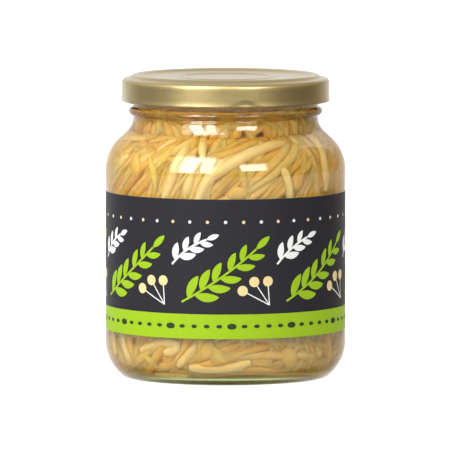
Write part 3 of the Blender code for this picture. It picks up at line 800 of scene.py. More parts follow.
class Bunch:
    """The sprouts in the jar: lays each one against the glass or on those already there."""

    def __init__(self, bed, rng):
        self.bed = bed
        self.rng = rng
        self.stack = Stack(bed)
        self.stems, self.inner_stems = Growth(), Growth()
        self.seeds, self.leaves, self.roots = Growth(), Growth(), Growth()

    def settle(self, along, azimuth, radius):
        middle = self.stack.needed(along, azimuth, radius) + SPROUT_CLEARANCE
        self.stack.lay(along, azimuth, radius, middle)
        return middle

    def line(self, along, azimuth, middle, passes, clear):
        """A line's points, eased and kept off the glass, and the ways out of the jar along it."""
        points, normals = self.bed.places(along, azimuth, middle)
        return kept_inside(straightened(points, passes), clear), normals

    def stem(self, along, azimuth, radius, rooted, headed, tone, passes=STEM_PASSES):
        middle = self.settle(along, azimuth, radius)
        points, normals = self.line(along, azimuth, middle, passes, radius + SPROUT_CLEARANCE)
        radii = stem_radii(len(points), radius, rooted, headed, self.rng)
        shares = np.linspace(0.0, 1.0, len(points))
        tones = tone + 0.25 * np.clip((shares - 0.8) / 0.2, 0.0, 1.0) * rooted
        tones += 0.22 * np.clip(1.0 - shares / 0.12, 0.0, 1.0) * headed
        # Painted shade: the deeper in from the glass the stem lies, the darker its colour.
        tones += SHADE_TONE_PER_DEPTH * np.clip(middle - radius, 0.0, DEEPEST)
        # Painted shade just below the lid.
        tones += painted_shade_near_lid(points[:, 2])
        keep = thinned(len(points), 10)
        growth = self.stems if middle.mean() < FRONT_DEPTH else self.inner_stems
        tube(growth, points[keep], normals[keep], radii[keep], tones[keep], flat=self.rng.uniform(0.86, 1.0))
        if headed:
            self.head(points, normals)

    def head(self, points, normals):
        """Two seed halves at the stem's head, a little apart, and at times a small leaf between them."""
        rng = self.rng
        run = Vector(points[0] - points[2]).normalized()
        normal = Vector(normals[0])
        side = run.cross(normal).normalized()
        long, wide, thick = rng.uniform(3.2, 4.0) * MM, rng.uniform(1.9, 2.5) * MM, rng.uniform(1.1, 1.5) * MM
        start = Vector(points[0]) - normal * 0.6 * MM
        tone = rng.uniform(0.1, 0.8)
        split = rng.uniform(0.1, 0.45)
        for way in (-1.0, 1.0)[: 2 if rng.random() < 0.75 else 1]:
            along = (run + side * way * split).normalized()
            across = normal.cross(along).normalized()
            centre = start + along * long * 0.75 + side * way * thick * 0.6
            ellipsoid(self.seeds, centre, along, normal, across * way, (long, wide, thick), tone)
        if rng.random() < 0.35:
            self.leaf_from(start, run, normal)

    def leaf_from(self, start, run, normal):
        rng = self.rng
        long = rng.uniform(4.5, 7.5) * MM
        side = run.cross(normal).normalized()
        sway = rng.uniform(-0.5, 0.5)
        shares = np.linspace(0.0, 1.0, 9)[:, None]
        points = np.array(start) + np.array(run) * long * shares
        points += np.array(side) * sway * long * shares**2 - np.array(normal) * 0.5 * MM
        width, tone = rng.uniform(0.7, 1.15) * MM, rng.uniform(0.0, 1.0)
        blade(self.leaves, kept_inside(points, 0.9 * MM), np.array([normal] * 9), width, tone)

    def root_hair(self, middle, azimuth):
        """A thin root tail that wanders over the stems."""
        rng = self.rng
        lean, bend, length = rng.uniform(0.0, TAU), rng.gauss(0.0, 60.0), rng.uniform(9.0, 20.0) * MM
        along, turn = self.walk(middle, azimuth, lean, bend, length, 0.0)
        middle = self.stack.needed(along, turn, 0.3 * MM) * rng.uniform(0.55, 1.0)
        points, normals = self.line(along, turn, middle, 3, 0.25 * MM)
        radii = np.linspace(0.24, 0.1, len(points)) * MM
        tube(self.roots, points, normals, radii, np.full(len(points), rng.uniform(0.3, 1.0)))

    def walk(self, middle, azimuth, lean, bend, length, hook):
        """A drawn route: from its middle both ways, bending evenly, with a hook at the head end."""
        half = int(length / SAMPLE_STEP / 2.0)
        halves = []
        for way in (-1.0, 1.0):
            along, turn, heading = middle, azimuth, lean
            part = []
            for k in range(half):
                along += way * SAMPLE_STEP * math.cos(heading)
                ring = max(float(self.bed.at(along)[0]), 7.0 * MM)
                turn += way * SAMPLE_STEP * math.sin(heading) / ring
                heading += way * bend * SAMPLE_STEP
                if way < 0.0 and k > half * 0.55:
                    heading += hook * SAMPLE_STEP
                part.append((along, turn))
            halves.append(part)
        route = np.array(list(reversed(halves[0])) + [(middle, azimuth)] + halves[1])
        top = self.bed.total - 1.5 * MM
        route[:, 0] = np.where(route[:, 0] > top, 2.0 * top - route[:, 0], route[:, 0])
        return np.abs(route[:, 0]), route[:, 1]

    def drawn_stem(self, middle, azimuth, near_neck=False):
        """The best of several draws: the one that lies nearest the glass."""
        rng = self.rng
        best = None
        height = float(self.bed.at(middle)[1])
        lengths, leans = SPROUT_LENGTHS, FLOOR_LEANS if height < FLOOR_STEMS_TOP else WALL_LEANS
        if near_neck or height > 80.0 * MM:
            lengths, leans = SHORT_LENGTHS, NECK_LEANS
        for _ in range(DRAWS):
            lean = math.radians(rng.gauss(*leans)) + (math.pi if rng.random() < 0.4 else 0.0)
            length = rng.uniform(*lengths)
            bend = math.radians(rng.gauss(0.0, 26.0)) / length
            hook = math.radians(rng.choice((0.0, 0.0, rng.gauss(0.0, 75.0)))) / (12.0 * MM)
            turn = azimuth + rng.uniform(-0.25, 0.25)
            radius = rng.uniform(*SPROUT_RADII)
            along, route = self.walk(middle, turn, lean, bend, length, hook)
            if not near_neck:
                keep = along < self.bed.along_at_height(rng.uniform(80.0, 92.0) * MM)
                if keep.sum() < 12:
                    continue
                along, route = along[keep], route[keep]
            depth = self.stack.needed(along, route, radius)
            score = depth.mean() + 0.3 * depth.max()
            if best is None or score < best[0]:
                best = (score, along, route, radius)
        if best is None or best[0] > DEEPEST:
            return
        rooted = rng.random() < 0.3
        headed = rng.random() < 0.2
        self.stem(*best[1:], rooted, headed, rng.uniform(-0.1, 0.5))

    def fill(self):
        """Lays one more stem behind the others, over the largest of some gaps with none near the glass."""
        rng = self.rng
        best = None
        edges = (LABEL_BOTTOM + 2.0 * MM, LABEL_TOP - 2.0 * MM)
        label = [int(self.bed.along_at_height(z) / CELL) for z in edges]
        open_cells = np.argwhere(self.stack.cover > FILL_DEPTH)
        rows = open_cells[:, 0]
        open_cells = open_cells[((rows < label[0]) | (rows > label[1])) & (rows > 12)]
        if len(open_cells) == 0:
            return
        for _ in range(FILL_DRAWS):
            row, column = open_cells[rng.randrange(len(open_cells))]
            height = float(self.bed.at(row * CELL)[1])
            leans = FLOOR_LEANS if height < FLOOR_STEMS_TOP else WALL_LEANS
            if height > 78.0 * MM:
                leans = FILL_NECK_LEANS
            lean = math.radians(rng.gauss(*leans))
            length = rng.uniform(*FILL_LENGTHS)
            bend = math.radians(rng.gauss(0.0, 22.0)) / length
            along, azimuth = self.walk(row * CELL, column * TAU / self.stack.columns, lean, bend, length, 0.0)
            keep = along < self.bed.total - 2.0 * MM
            if keep.sum() < 10:
                continue
            radius = rng.uniform(*SPROUT_RADII)
            gain = self.stack.bare(along[keep], azimuth[keep], radius)
            if best is None or gain > best[0]:
                best = (gain, along[keep], azimuth[keep], radius)
        if best is None:
            return
        _, along, azimuth, radius = best
        middle = np.full(len(along), rng.uniform(0.78, 1.0) * FILL_DEPTH)
        self.stack.lay(along, azimuth, radius, middle)
        points, normals = self.line(along, azimuth, middle, 12, radius + SPROUT_CLEARANCE)
        keep = thinned(len(points), 8)
        radii = stem_radii(len(points), radius, False, False, rng)
        # Painted shade just below the lid, on top of the stem's own random tone.
        tones = np.full(len(points), rng.uniform(0.15, 0.6)) + painted_shade_near_lid(points[:, 2])
        tube(self.inner_stems, points[keep], normals[keep], radii[keep], tones[keep])


def smooth_route(stops, bed):
    """A smooth line through (azimuth in degrees, height in mm) stops, as arrays of road coordinates."""
    azimuths = np.radians([MAGNIFIED * a for a, _ in stops])
    along = bed.along_at_height(np.array([z * MM for _, z in stops]))
    count = len(stops)
    length = np.hypot(np.diff(along), np.diff(azimuths) * 37.0 * MM).sum()
    fine = np.linspace(0.0, count - 1.0, max(8, int(length / SAMPLE_STEP)))

    def spline(values):
        padded = np.concatenate([[2 * values[0] - values[1]], values, [2 * values[-1] - values[-2]]])
        i = np.clip(fine.astype(int), 0, count - 2)
        t = fine - i
        p0, p1, p2, p3 = (padded[i + k] for k in range(4))
        curve = 2 * p1 + (p2 - p0) * t + (2 * p0 - 5 * p1 + 4 * p2 - p3) * t**2
        return 0.5 * (curve + (3 * p1 - p0 - 3 * p2 + p3) * t**3)

    return spline(along), spline(azimuths)


# Sprouts that show at the front, as (azimuth in degrees, height in mm) along each
FRONT_STEMS = (
    ((-20, 55), (-14, 64), (-9, 70), (0, 73.5), (12, 77.5), (27, 80), (43, 81)),
    ((18, 89), (20, 85), (21, 80)),
    ((25, 83), (30, 76), (36, 69.5), (38, 60)),
    ((0, 85), (-1, 80), (-2, 75), (-2, 69)),
    ((7, 84), (4, 80), (1, 76), (-1, 70)),
    ((-16, 85), (-15, 81), (-13, 76)),
    ((-15, 77), (-19, 71), (-23, 63), (-25, 54)),
    ((-10, 77), (-15, 70), (-18, 62)),
    ((-27, 86), (-34, 84), (-41, 80), (-47, 75), (-52, 68)),
    ((-20, 84), (-24, 81), (-28, 75), (-31, 69), (-35, 63), (-37, 56)),
    ((-28, 83), (-30, 79), (-32, 70), (-38, 62)),
    ((-44, 84), (-48, 79), (-52, 73), (-60, 67)),
    ((-12, 57), (-6, 63), (1, 69), (11, 73)),
    ((6, 57), (15, 63), (24, 67), (34, 70)),
    ((28, 78), (19, 70), (12, 63), (8, 56)),
    ((30, 58), (31, 67), (30, 74)),
    ((28, 56), (35, 62), (43, 67), (55, 73)),
    ((73, 84), (70, 79), (66, 73), (66, 64)),
    ((50, 84), (52, 79), (47, 72), (46, 64)),
    ((-6, 87), (-10, 83), (-15, 79), (-21, 75)),
    ((11, 87), (9, 83), (6, 77), (6, 70)),
    ((30, 81), (40, 83), (54, 84)),
    ((-44, 86), (-34, 88.5), (-24, 88)),
    ((-30, 91), (-18, 90), (-8, 88)),
    ((36, 86), (48, 88.5), (62, 88)),
    ((8, 91.5), (20, 90), (34, 91)),
    ((-60, 88), (-50, 90.5), (-38, 91)),
    ((-6, 92), (4, 89.5), (14, 88)),
    ((-53, 11), (-44, 13), (-36, 14), (-30, 14.5), (-27, 13), (-30, 11.5), (-36, 11)),
    ((-61, 22), (-59, 16), (-55, 10), (-55, 5.5)),
    ((-71, 20), (-68, 14), (-65, 9), (-63, 5.5)),
    ((-12, 20), (-15, 15.5), (-21, 10.5), (-28, 6)),
    ((-12, 19), (-14, 14), (-17, 8)),
    ((-21, 5.6), (-9, 5.0), (2, 5.4), (14, 7.6)),
    ((8, 20), (9, 16), (12, 10.5), (18, 7.6), (29, 8)),
    ((41, 13), (34, 13.6), (28, 13), (25, 10.5), (27, 7.5), (32, 5.8)),
    ((27, 17), (34, 14.5), (44, 12.5), (63, 10)),
    ((50, 21), (53, 16), (59, 11.5), (66, 7)),
    ((-39, 17), (-39, 12), (-38, 7)),
    ((75, 20), (74, 13), (70, 8)),
)
# Seed halves at the front, as (azimuth, height, lean from upright in degrees, size)
FRONT_SEEDS = (
    (-57, 73, -30, 1.0),
    (7, 64.5, 75, 1.0),
    (38, 9.0, -35, 1.1),
    (56, 9.4, 20, 0.9),
    (-10, 12.4, 25, 1.0),
    (-4, 13.6, 28, 0.95),
    (43, 68, 10, 0.95),
)
# Small bright leaves at the front, as (azimuth, height) along each
FRONT_LEAVES = (
    ((-47, 76), (-43, 71), (-41, 65)),
    ((28, 87.5), (37, 87.6), (47, 86)),
    ((-50, 9.5), (-45, 7), (-42, 5.4)),
    ((-7, 13.5), (-4, 10.5), (0, 8)),
    ((-13, 18), (-14, 15), (-14.5, 12)),
    ((-33, 80), (-37, 77), (-41, 72)),
    ((57, 12), (60, 10), (62, 8.5)),
)
# Root tails at the front, in the gap left of the middle, as (azimuth, height) along each
FRONT_HAIRS = (
    ((-17, 80), (-12, 77.5), (-8, 77)),
    ((-15, 74), (-12, 77), (-11, 81)),
    ((-19, 76), (-13, 75), (-7, 77.5)),
    ((-9, 73.5), (-10, 78), (-7, 81)),
    ((47, 71), (44, 67), (45, 63)),
    ((-8, 9), (-5, 7), (-1, 7.4)),
)


def front_things(bunch):
    """The sprouts, seed halves and leaves that show at the front go in first, against the glass."""
    rng = bunch.rng
    for leaf in FRONT_LEAVES:
        along, azimuth = smooth_route(leaf, bunch.bed)
        middle = bunch.settle(along, azimuth, 0.7 * MM)
        points, normals = bunch.line(along, azimuth, middle, 0, 0.9 * MM)
        blade(bunch.leaves, points, normals, 1.5 * MM, rng.uniform(0.2, 1.0))
    for azimuth, height, lean, size in FRONT_SEEDS:
        lean = math.radians(lean)
        spread = np.linspace(-3.2 * MM * size, 3.2 * MM * size, 9)
        along = bunch.bed.along_at_height(height * MM) + spread * math.cos(lean)
        route = math.radians(MAGNIFIED * azimuth) + spread * math.sin(lean) / (36.0 * MM)
        middle = bunch.settle(along, route, 1.5 * MM)
        points, normals = bunch.line(along, route, middle, 8, 1.9 * MM)
        run = Vector(points[-1] - points[0]).normalized()
        normal = Vector(normals[4])
        across = normal.cross(run).normalized()
        sizes = (3.7 * MM * size, 2.6 * MM * size, 1.5 * MM)
        ellipsoid(bunch.seeds, Vector(points[4]), run, across, normal, sizes, rng.uniform(0.2, 0.7))
    for k, stops in enumerate(FRONT_STEMS):
        along, azimuth = smooth_route(stops, bunch.bed)
        radius = (2.0 if k == 0 else rng.uniform(1.4, 1.85)) * MM
        bunch.stem(along, azimuth, radius, False, False, rng.uniform(-0.1, 0.12), passes=FRONT_PASSES)
    for stops in FRONT_HAIRS:
        along, azimuth = smooth_route(stops, bunch.bed)
        points, normals = bunch.bed.places(along, azimuth, np.full(len(along), 1.1 * MM))
        radii = np.linspace(0.22, 0.1, len(points)) * MM
        tube(bunch.roots, points, normals, radii, np.full(len(points), rng.uniform(0.2, 1.0)))


def make_bunch(flesh, seed, leaf, root, deep):
    rng = random.Random(SEED)
    bed = Bed(inner_wall(), BRINE_LEVEL + 1.0 * MM)
    bunch = Bunch(bed, rng)
    front_things(bunch)
    golden = math.pi * (3.0 - math.sqrt(5.0))
    for i in range(NECK_SPROUTS):
        bunch.drawn_stem(bed.along_at_height(rng.uniform(78.0, 95.0) * MM), i * golden, near_neck=True)
    samples = np.linspace(4.0 * MM, bed.total, 500)
    ring, height = bed.at(samples)
    hidden = (height > LABEL_BOTTOM + 4.0 * MM) & (height < LABEL_TOP - 4.0 * MM)
    share = np.cumsum(ring * np.where(hidden, BEHIND_LABEL, 1.0))
    starts = np.interp((np.arange(WALL_SPROUTS) + 0.5) / WALL_SPROUTS * share[-1], share, samples)
    order = list(range(WALL_SPROUTS))
    rng.shuffle(order)
    for count, i in enumerate(order):
        bunch.drawn_stem(float(starts[i]), i * golden)
        if count % (WALL_SPROUTS // ROOT_HAIRS) == 0:
            bunch.root_hair(rng.uniform(0.2, 1.0) * bed.total, rng.uniform(0.0, TAU))
    for _ in range(FILLING_SPROUTS):
        bunch.fill()
    stems = bunch.stems.piece("sprout_stems", flesh)
    bunch.inner_stems.piece("sprout_inner_stems", flesh)
    bunch.seeds.piece("sprout_seeds", seed)
    bunch.leaves.piece("sprout_leaves", leaf)
    bunch.roots.piece("sprout_roots", root)
    make_core(bed, deep)
    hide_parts("sprouts")


def make_core(bed, deep):
    """What shows far in between the sprouts: a rough amber mass in the middle of the bunch, standing in for the
    sprouts there, its deeper amber than theirs painted shade.
    """
    tiers, columns = 60, 90
    points = []
    for s in np.linspace(0.0, bed.total, tiers):
        for k in range(columns):
            azimuth = TAU * k / columns
            ripple = 1.1 * math.sin(7 * azimuth + 300.0 * s) + 0.8 * math.sin(13 * azimuth - 520.0 * s)
            depth = CORE_DEPTH + ripple * MM * 0.6
            place, _ = bed.places(np.array([s]), np.array([azimuth]), np.array([depth]))
            points.append(tuple(place[0]))
    faces = grid_faces(tiers, columns)
    faces.append(tuple(range(columns)))
    faces.append(tuple((tiers - 1) * columns + k for k in reversed(range(columns))))
    core = mesh_piece("sprout_core", points, faces, [deep], "jar")


def make_brine(finish):
    """The liquid, out to just inside the glass's inner face, so that light passes from one to the other."""
    wall = inner_wall()
    profile = [shifted(wall, i, BRINE_INTO_GLASS) for i, (_, z) in enumerate(wall) if z <= BRINE_LEVEL]
    edge = MOUTH_RADIUS + BRINE_INTO_GLASS
    profile.append((edge, BRINE_LEVEL + 0.3 * MM))
    profile += [(MOUTH_RADIUS - 0.4 * MM, BRINE_LEVEL + 0.05 * MM), (MOUTH_RADIUS - 1.6 * MM, BRINE_LEVEL)]
    profile += [(0.5 * MOUTH_RADIUS, BRINE_LEVEL), (0.0, BRINE_LEVEL)]
    points, faces = spun(profile, GLASS_SEGMENTS // 2)
    brine = mesh_piece("brine_full", points, faces, [finish], "jar")
    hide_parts("brine")


# Lid


def lid_outside():
    """The lid's upper surface, from its middle out over the ridge and down to the curl."""
    dish = [(BUTTON_RADIUS * 0.2 * i, PANEL_HEIGHT - BUTTON_STEP * (1.0 - (0.2 * i) ** 2)) for i in range(5)]
    ring = arc((BUTTON_RADIUS, PANEL_HEIGHT - 0.6 * MM), 0.85 * MM, 130.0, 50.0, 6)
    flat = (BUTTON_RADIUS + 1.2 * MM, 22.0 * MM, PANEL_RADIUS - 0.5 * MM)
    panel = [(r, PANEL_HEIGHT) for r in flat]
    rise = [(PANEL_RADIUS + r * MM, PANEL_HEIGHT + z * MM) for r, z in PANEL_RISE]
    top = lid_high.z
    ridge = [(RIDGE_RADIUS + r * MM, top - z * MM) for r, z in RIDGE]
    corner = arc((SKIRT_RADIUS - 1.45 * MM, top - 2.6 * MM), 1.42 * MM, 82.0, 0.0, 8)
    skirt = [(SKIRT_RADIUS, z * MM) for z in np.arange(98.9, 94.9, -0.25)]
    flare = [(SKIRT_RADIUS + r * MM, z * MM - LID_DROP) for r, z in ((0.02, 94.6), (0.07, 94.15))]
    return dish + ring + panel + rise + ridge + corner + skirt + flare


def press_lugs(r, z, angle):
    """Presses the triangular dents of the lugs into the skirt, and pinches the curl under them."""
    pitch = TAU / LUGS
    apart = (angle - math.radians(FIRST_LUG_DEG) + 0.5 * pitch) % pitch - 0.5 * pitch
    sideways = abs(apart) * SKIRT_RADIUS
    rise = (z - lid_low.z + LID_DROP) / DENT_HEIGHT
    if r < SKIRT_RADIUS - 2.2 * MM or rise > 1.0:
        return r, z
    edge = DENT_HALF_WIDTH * (1.0 - max(rise, 0.0))
    inside = min(1.0, max(0.0, (edge - sideways) / DENT_SLOPE))
    smooth = inside * inside * (3.0 - 2.0 * inside)
    return r - DENT_DEPTH * smooth, z


def make_lid(gold):
    outside = lid_outside()
    curl_centre = (SKIRT_RADIUS + 0.12 * MM - CURL_RADIUS, lid_low.z - LID_DROP + CURL_RADIUS)
    curl = arc(curl_centre, CURL_RADIUS, 0.0, -250.0, 14)
    inside = [shifted(outside, i, LID_SHEET) for i in range(len(outside) - 3, -1, -1)]
    shell = spun(outside + curl + inside, LID_SEGMENTS, shape=press_lugs)
    lid = mesh_piece("lid_fine", *joined([shell] + [lug(k) for k in range(LUGS)]), [gold], "lid")
    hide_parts("lid")


def lug(index):
    """One lug: the curl flattened and bent inwards, as a rounded tongue."""
    middle = math.radians(FIRST_LUG_DEG) + index * TAU / LUGS
    half = math.radians(LUG_HALF_WIDTH_DEG)
    steps = 14
    root = SKIRT_RADIUS - 0.5 * MM
    low, high = lid_low.z - LID_DROP + 0.25 * MM, lid_low.z - LID_DROP + 1.25 * MM
    rings = []
    for i in range(steps + 1):
        share = 2.0 * i / steps - 1.0
        angle = middle + half * share
        tip = (SKIRT_RADIUS - 0.7 * MM) - LUG_REACH * math.sqrt(max(0.0, 1.0 - share**4))
        section = [(root, low), (tip + 0.3 * MM, low + 0.1 * MM), (tip, 0.5 * (low + high))]
        section += [(tip + 0.3 * MM, high - 0.1 * MM), (root, high)]
        rings.append([(r * math.cos(angle), r * math.sin(angle), z) for r, z in section])
    return rings_to_mesh(rings)


def rings_to_mesh(rings):
    """Points and faces of equal rings joined in a row, with both ends closed."""
    wide = len(rings[0])
    points = [point for ring in rings for point in ring]
    faces = grid_faces(len(rings), wide)
    faces.append(tuple(range(wide)))
    faces.append(tuple((len(rings) - 1) * wide + k for k in range(wide)))
    return points, faces


def make_seal(finish):
    """The sealing ring, pressed between the rim and the lid's channel."""
    inner, outer = 28.9 * MM, 31.1 * MM
    bottom, top = RIM_TOP + 0.02 * MM, 101.25 * MM
    section = [
        (inner, bottom + 0.15 * MM),
        (inner + 0.4 * MM, bottom),
        (outer - 0.4 * MM, bottom),
        (outer, bottom + 0.2 * MM),
        (outer, top - 0.5 * MM),
        (0.5 * (inner + outer) + 0.3 * MM, top),
        (inner, top - 0.6 * MM),
    ]
    points, faces = spun(section, LID_SEGMENTS // 2, closed=True)
    seal = mesh_piece("lid_seal_fine", points, faces, [finish], "lid")
    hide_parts("lid_seal")


# Label


def on_label(across, height, proud=0.0):
    """The place on the label's face of a distance round from the front's middle, and a height."""
    radius = LABEL_RADIUS - 0.012 * MM + proud
    angle = across / LABEL_RADIUS - 0.5 * math.pi
    return (radius * math.cos(angle), radius * math.sin(angle), height)


def make_label(charcoal, lime, bare):
    """The paper strip: two printed colours, cut edges, and an end that laps over the start at the back."""
    around = TAU * LABEL_RADIUS
    heights = [LABEL_BOTTOM, 20.0 * MM, BAND_TOP] + list(np.linspace(30.0 * MM, LABEL_TOP, 8))
    rows, columns = len(heights), LABEL_SEGMENTS
    points = []
    for layer in (0.0, -PAPER_THICKNESS):
        for k in range(columns + 1):
            across = -0.5 * around + (around + LABEL_LAP) * k / columns
            over = max(0.0, min(1.0, (across - 0.5 * around + 0.5 * LABEL_LAP) / (0.5 * LABEL_LAP)))
            proud = layer + over * 0.005 * MM - (1.0 - over) * 0.03 * MM
            points += [on_label(across, z, proud) for z in heights]
    faces, kinds = [], []
    back = (columns + 1) * rows
    for k in range(columns):
        for i in range(rows - 1):
            a = k * rows + i
            faces.append((a, a + rows, a + rows + 1, a + 1))
            faces.append((back + a, back + a + 1, back + a + rows + 1, back + a + rows))
            kinds += [1 if heights[i] < BAND_TOP - 1e-6 else 0, 2]
        for a, b in ((k * rows, (k + 1) * rows), ((k + 1) * rows + rows - 1, k * rows + rows - 1)):
            faces.append((a, back + a, back + b, b))
            kinds.append(2)
    for i in list(range(rows - 1)) + list(range(columns * rows, columns * rows + rows - 1)):
        faces.append((i, i + 1, back + i + 1, back + i))
        kinds.append(2)
    label = mesh_piece("label_paper_strip", points, faces, [charcoal, lime, bare], "jar", face_finish=kinds)
    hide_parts("label")


def printed_leaf(parts, across, height, lean_deg, long, wide, bend=0.0):
    """A printed leaf from its stalk end: a pointed oval on the label's face."""
    steps, lanes = 12, 4
    lean = math.radians(lean_deg)
    points = []
    for i in range(steps + 1):
        share = i / steps
        turn = lean + bend * share
        x = across + long * share * math.sin(0.5 * (lean + turn))
        y = height + long * share * math.cos(0.5 * (lean + turn))
        half = 0.5 * wide * math.sin(math.pi * share) ** 0.75
        for lane in range(lanes + 1):
            off = half * (2.0 * lane / lanes - 1.0)
            points.append(on_label(x + off * math.cos(turn), y - off * math.sin(turn), 0.008 * MM))
    parts.append((points, grid_faces(steps + 1, lanes + 1, closed=False)))


def printed_line(parts, stops, wide):
    """A printed line through (across, height) stops."""
    points = []
    for i, (x, y) in enumerate(stops):
        before, after = stops[max(i - 1, 0)], stops[min(i + 1, len(stops) - 1)]
        dx, dy = after[0] - before[0], after[1] - before[1]
        size = math.hypot(dx, dy)
        for way in (-0.5, 0.5):
            points.append(on_label(x - dy / size * wide * way, y + dx / size * wide * way, 0.006 * MM))
    faces = [(2 * i, 2 * i + 2, 2 * i + 3, 2 * i + 1) for i in range(len(stops) - 1)]
    parts.append((points, faces))


def printed_dot(parts, across, height, radius, stretch=1.0):
    points = [on_label(across, height, 0.016 * MM)]
    sides = 16
    for k in range(sides):
        turn = TAU * k / sides
        x, y = across + stretch * radius * math.cos(turn), height + radius * math.sin(turn)
        points.append(on_label(x, y, 0.016 * MM))
    faces = [(0, 1 + k, 1 + (k + 1) % sides) for k in range(sides)]
    parts.append((points, faces))


def printed_twig(stalks, leaves, start, lean_deg, bend_deg, long, pairs, leaf_size):
    """A printed twig from its foot: a bent stalk, leaves on both sides of it, and one at its tip."""
    steps = 24
    x, y = start
    stops = [start]
    headings = [math.radians(lean_deg)]
    for i in range(steps):
        heading = math.radians(lean_deg + bend_deg * (i + 0.5) / steps)
        x += long / steps * math.sin(heading)
        y += long / steps * math.cos(heading)
        stops.append((x, y))
        headings.append(heading)
    printed_line(stalks, stops, TWIG_WIDTH)
    for pair in range(pairs):
        for side in (-1.0, 1.0):
            i = int(steps * (pair + 0.7 + 0.22 * side) / (pairs + 0.5))
            lean = math.degrees(headings[i]) + side * 50.0
            shrink = 1.0 - 0.35 * pair / pairs
            size = (leaf_size[0] * shrink, leaf_size[1] * shrink)
            printed_leaf(leaves, *stops[i], lean, *size, bend=-0.5 * side)
    printed_leaf(leaves, x, y, math.degrees(headings[-1]), 0.75 * leaf_size[0], 0.75 * leaf_size[1])


def make_print(white, lime_ink, cream_ink, dark_ink):
    """A plain design in place of words and picture: twigs and berries, and rows of dots."""
    white_parts, lime_parts, cream_parts, dark_parts = [], [], [], []
    around = TAU * LABEL_RADIUS
    pitch = around / TWIG_REPEATS
    for k in range(TWIG_REPEATS):
        x = around * ((k + 0.5) / TWIG_REPEATS - 0.5)
        start = (x - 15.0 * MM, 28.5 * MM)
        printed_twig(lime_parts, lime_parts, start, 62.0, -14.0, 31.0 * MM, 5, (8.4 * MM, 3.0 * MM))
        start = (x - 18.5 * MM, 41.0 * MM)
        printed_twig(white_parts, white_parts, start, 40.0, 30.0, 15.0 * MM, 3, (6.0 * MM, 2.4 * MM))
        foot = (x + 15.0 * MM, 27.4 * MM)
        for lean_deg, long in ((-62.0, 10.5), (-34.0, 9.5), (-4.0, 8.0)):
            lean = math.radians(lean_deg)
            tip = (foot[0] + long * MM * math.sin(lean), foot[1] + long * MM * math.cos(lean))
            shares = [i / 8.0 for i in range(9)]
            stops = [tuple(f + (t - f) * share for f, t in zip(foot, tip)) for share in shares]
            printed_line(white_parts, stops, 0.5 * TWIG_WIDTH)
            printed_dot(cream_parts, *tip, 1.75 * MM)
        for share in range(6):
            parts = cream_parts if share % 2 else white_parts
            printed_dot(parts, x + share * pitch / 6.0, 55.3 * MM, 0.55 * MM)
    for k in range(BAND_DOTS):
        x = around * ((k + 0.5) / BAND_DOTS - 0.5)
        printed_dot(dark_parts, x, 20.4 * MM, 0.62 * MM if k % 5 else 1.0 * MM, 1.6)
    for name, parts, ink in (
        ("label_print_white", white_parts, white),
        ("label_print_lime", lime_parts, lime_ink),
        ("label_print_cream", cream_parts, cream_ink),
        ("label_print_dark", dark_parts, dark_ink),
    ):
        printed = mesh_piece(name, *joined(parts), [ink], "jar", outward=False)


# Studio


def place_at(azimuth_deg, elevation_deg, distance, target):
    """A point in a direction from a target: azimuth from the front, positive to the right."""
    azimuth, elevation = math.radians(azimuth_deg), math.radians(elevation_deg)
    level = math.cos(elevation)
    way = Vector((math.sin(azimuth) * level, -math.cos(azimuth) * level, math.sin(elevation)))
    return Vector(target) + way * distance


def soft_box(name, azimuths, elevations, radiance, shows):
    """A flat lamp that fills a window of directions from the jar, for gloss or for the rest."""
    target = (0.0, 0.0, 0.07)
    centre = (0.5 * sum(azimuths), 0.5 * sum(elevations))
    place = place_at(*centre, LAMP_DISTANCE, target)
    wide = 2.0 * LAMP_DISTANCE * math.tan(math.radians(0.5 * (azimuths[1] - azimuths[0])))
    wide *= math.cos(math.radians(centre[1]))
    high = 2.0 * LAMP_DISTANCE * math.tan(math.radians(0.5 * (elevations[1] - elevations[0])))
    data = bpy.data.lights.new(name, "AREA")
    data.shape = "RECTANGLE"
    data.size, data.size_y = wide, high
    data.energy = radiance * math.pi * wide * high
    lamp = bpy.data.objects.new(name, data)
    bpy.context.scene.collection.objects.link(lamp)
    lamp.location = place
    lamp.visible_diffuse = not shows
    lamp.visible_glossy = shows
    lamp.rotation_euler = (Vector(target) - place).to_track_quat("-Z", "Y").to_euler()


def stage_card(name, corners, material):
    """A flat sheet of the stage."""
    mesh = bpy.data.meshes.new(name)
    mesh.from_pydata(corners, [], [tuple(range(len(corners)))])
    mesh.materials.append(material)
    card = bpy.data.objects.new(name, mesh)
    bpy.context.scene.collection.objects.link(card)
    return card


def make_floor():
    """A pale table that glows a little, so that it stays white far from the lamps. Gloss shows the room."""
    white, _, shader = new_material("table_white")
    set_inputs(shader, Base_Color=(0.45, 0.45, 0.45, 1.0), Roughness=0.8, Specular_IOR_Level=0.0)
    set_inputs(shader, Emission_Color=(1.0, 1.0, 1.0, 1.0), Emission_Strength=0.85)
    turns = [TAU * k / 48 for k in range(48)]
    corners = [(2.4 * math.cos(turn), 2.4 * math.sin(turn), -0.05 * MM) for turn in turns]
    table = stage_card("table", corners, white)
    table.visible_glossy = False


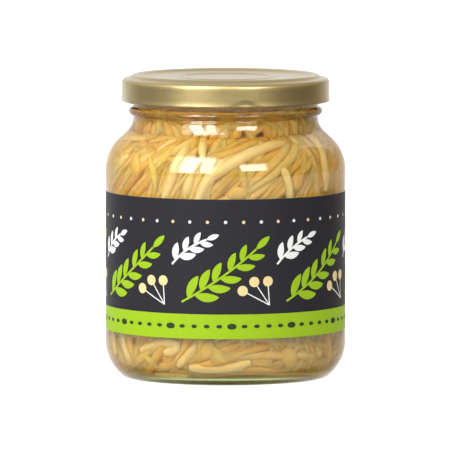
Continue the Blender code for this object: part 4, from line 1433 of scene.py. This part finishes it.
def make_world():
    """A plain surround: white behind the jar, dim in front, where the room is, and warmer to the right."""
    world = bpy.data.worlds.new("studio")
    world.use_nodes = True
    tree = world.node_tree
    back = tree.nodes["Background"]
    split = node(tree, "ShaderNodeSeparateXYZ")
    tree.links.new(node(tree, "ShaderNodeTexCoord").outputs["Generated"], split.inputs[0])
    x, y, z = (split.outputs[axis] for axis in "XYZ")
    warmth = ramp(tree, map_range(tree, x, 0.1, 0.9, 0.0, 1.0), ((0.0, (1.0, 1.0, 1.0)), (1.0, WARM_SIDE)))
    tree.links.new(warmth, back.inputs["Color"])
    level = map_range(tree, z, -0.1, 0.35, 0.14, 0.55)
    room = combined(tree, "MULTIPLY", level, map_range(tree, x, -0.9, 0.9, 1.1, 0.6))
    upper = map_range(tree, z, 0.0, 0.1, 1.0, 0.8)
    dimmed = combined(tree, "MULTIPLY", upper, map_range(tree, x, 0.1, 0.8, 1.0, 0.6))
    backdrop = combined(tree, "MULTIPLY", map_range(tree, y, 0.25, 0.95, 0.0, 1.0), dimmed)
    tree.links.new(combined(tree, "MAXIMUM", room, backdrop), back.inputs["Strength"])
    bpy.context.scene.world = world


def make_studio():
    soft_box("window_left_outer", (-48.0, -30.0), (8.0, 53.0), 6.6, True)
    soft_box("window_left_inner", (-26.0, -13.0), (9.0, 53.0), 4.8, True)
    soft_box("window_right", (15.0, 42.0), (15.0, 33.0), 7.0, True)
    soft_box("key_light", (-62.0, -8.0), (8.0, 56.0), 3.4, False)
    soft_box("back_light", (140.0, 200.0), (12.0, 56.0), 2.2, False)
    make_floor()
    make_world()


def make_camera():
    """The photograph's view: far away, a little above the jar's middle."""
    data = bpy.data.cameras.new("camera")
    data.sensor_width = 36.0
    data.lens = data.sensor_width * CAMERA_DISTANCE / CAMERA_FIELD
    data.clip_end = 50.0
    camera = bpy.data.objects.new("camera", data)
    bpy.context.scene.collection.objects.link(camera)
    target = Vector(CAMERA_TARGET)
    elevation = math.radians(CAMERA_ELEVATION_DEG)
    camera.location = target + Vector((0.0, -math.cos(elevation), math.sin(elevation))) * CAMERA_DISTANCE
    camera.rotation_euler = (target - camera.location).to_track_quat("-Z", "Y").to_euler()
    bpy.context.scene.camera = camera


def main():
    make_camera()
    make_studio()
    make_glass(glass_material())
    make_brine(brine_material())
    make_bunch(*(flesh_material(name, *tones) for name, tones in FLESH_TONES.items()))
    make_lid(gold_material())
    make_seal(plain_material("seal_compound", (0.86, 0.84, 0.78), 0.5))
    make_label(
        paper_material("paper_charcoal", (0.026, 0.024, 0.030), (0.031, 0.029, 0.035)),
        paper_material("paper_lime", *LIME),
        paper_material("paper_edge", (0.70, 0.69, 0.66), (0.78, 0.77, 0.74), 0.6),
    )
    make_print(
        paper_material("ink_white", (0.84, 0.84, 0.82), (0.90, 0.90, 0.88)),
        paper_material("ink_lime", *LIME),
        paper_material("ink_cream", (0.78, 0.62, 0.28), (0.84, 0.68, 0.34)),
        paper_material("ink_dark", (0.03, 0.05, 0.02), (0.04, 0.06, 0.03)),
    )
    bpy.context.scene.view_settings.view_transform = "Standard"


main()
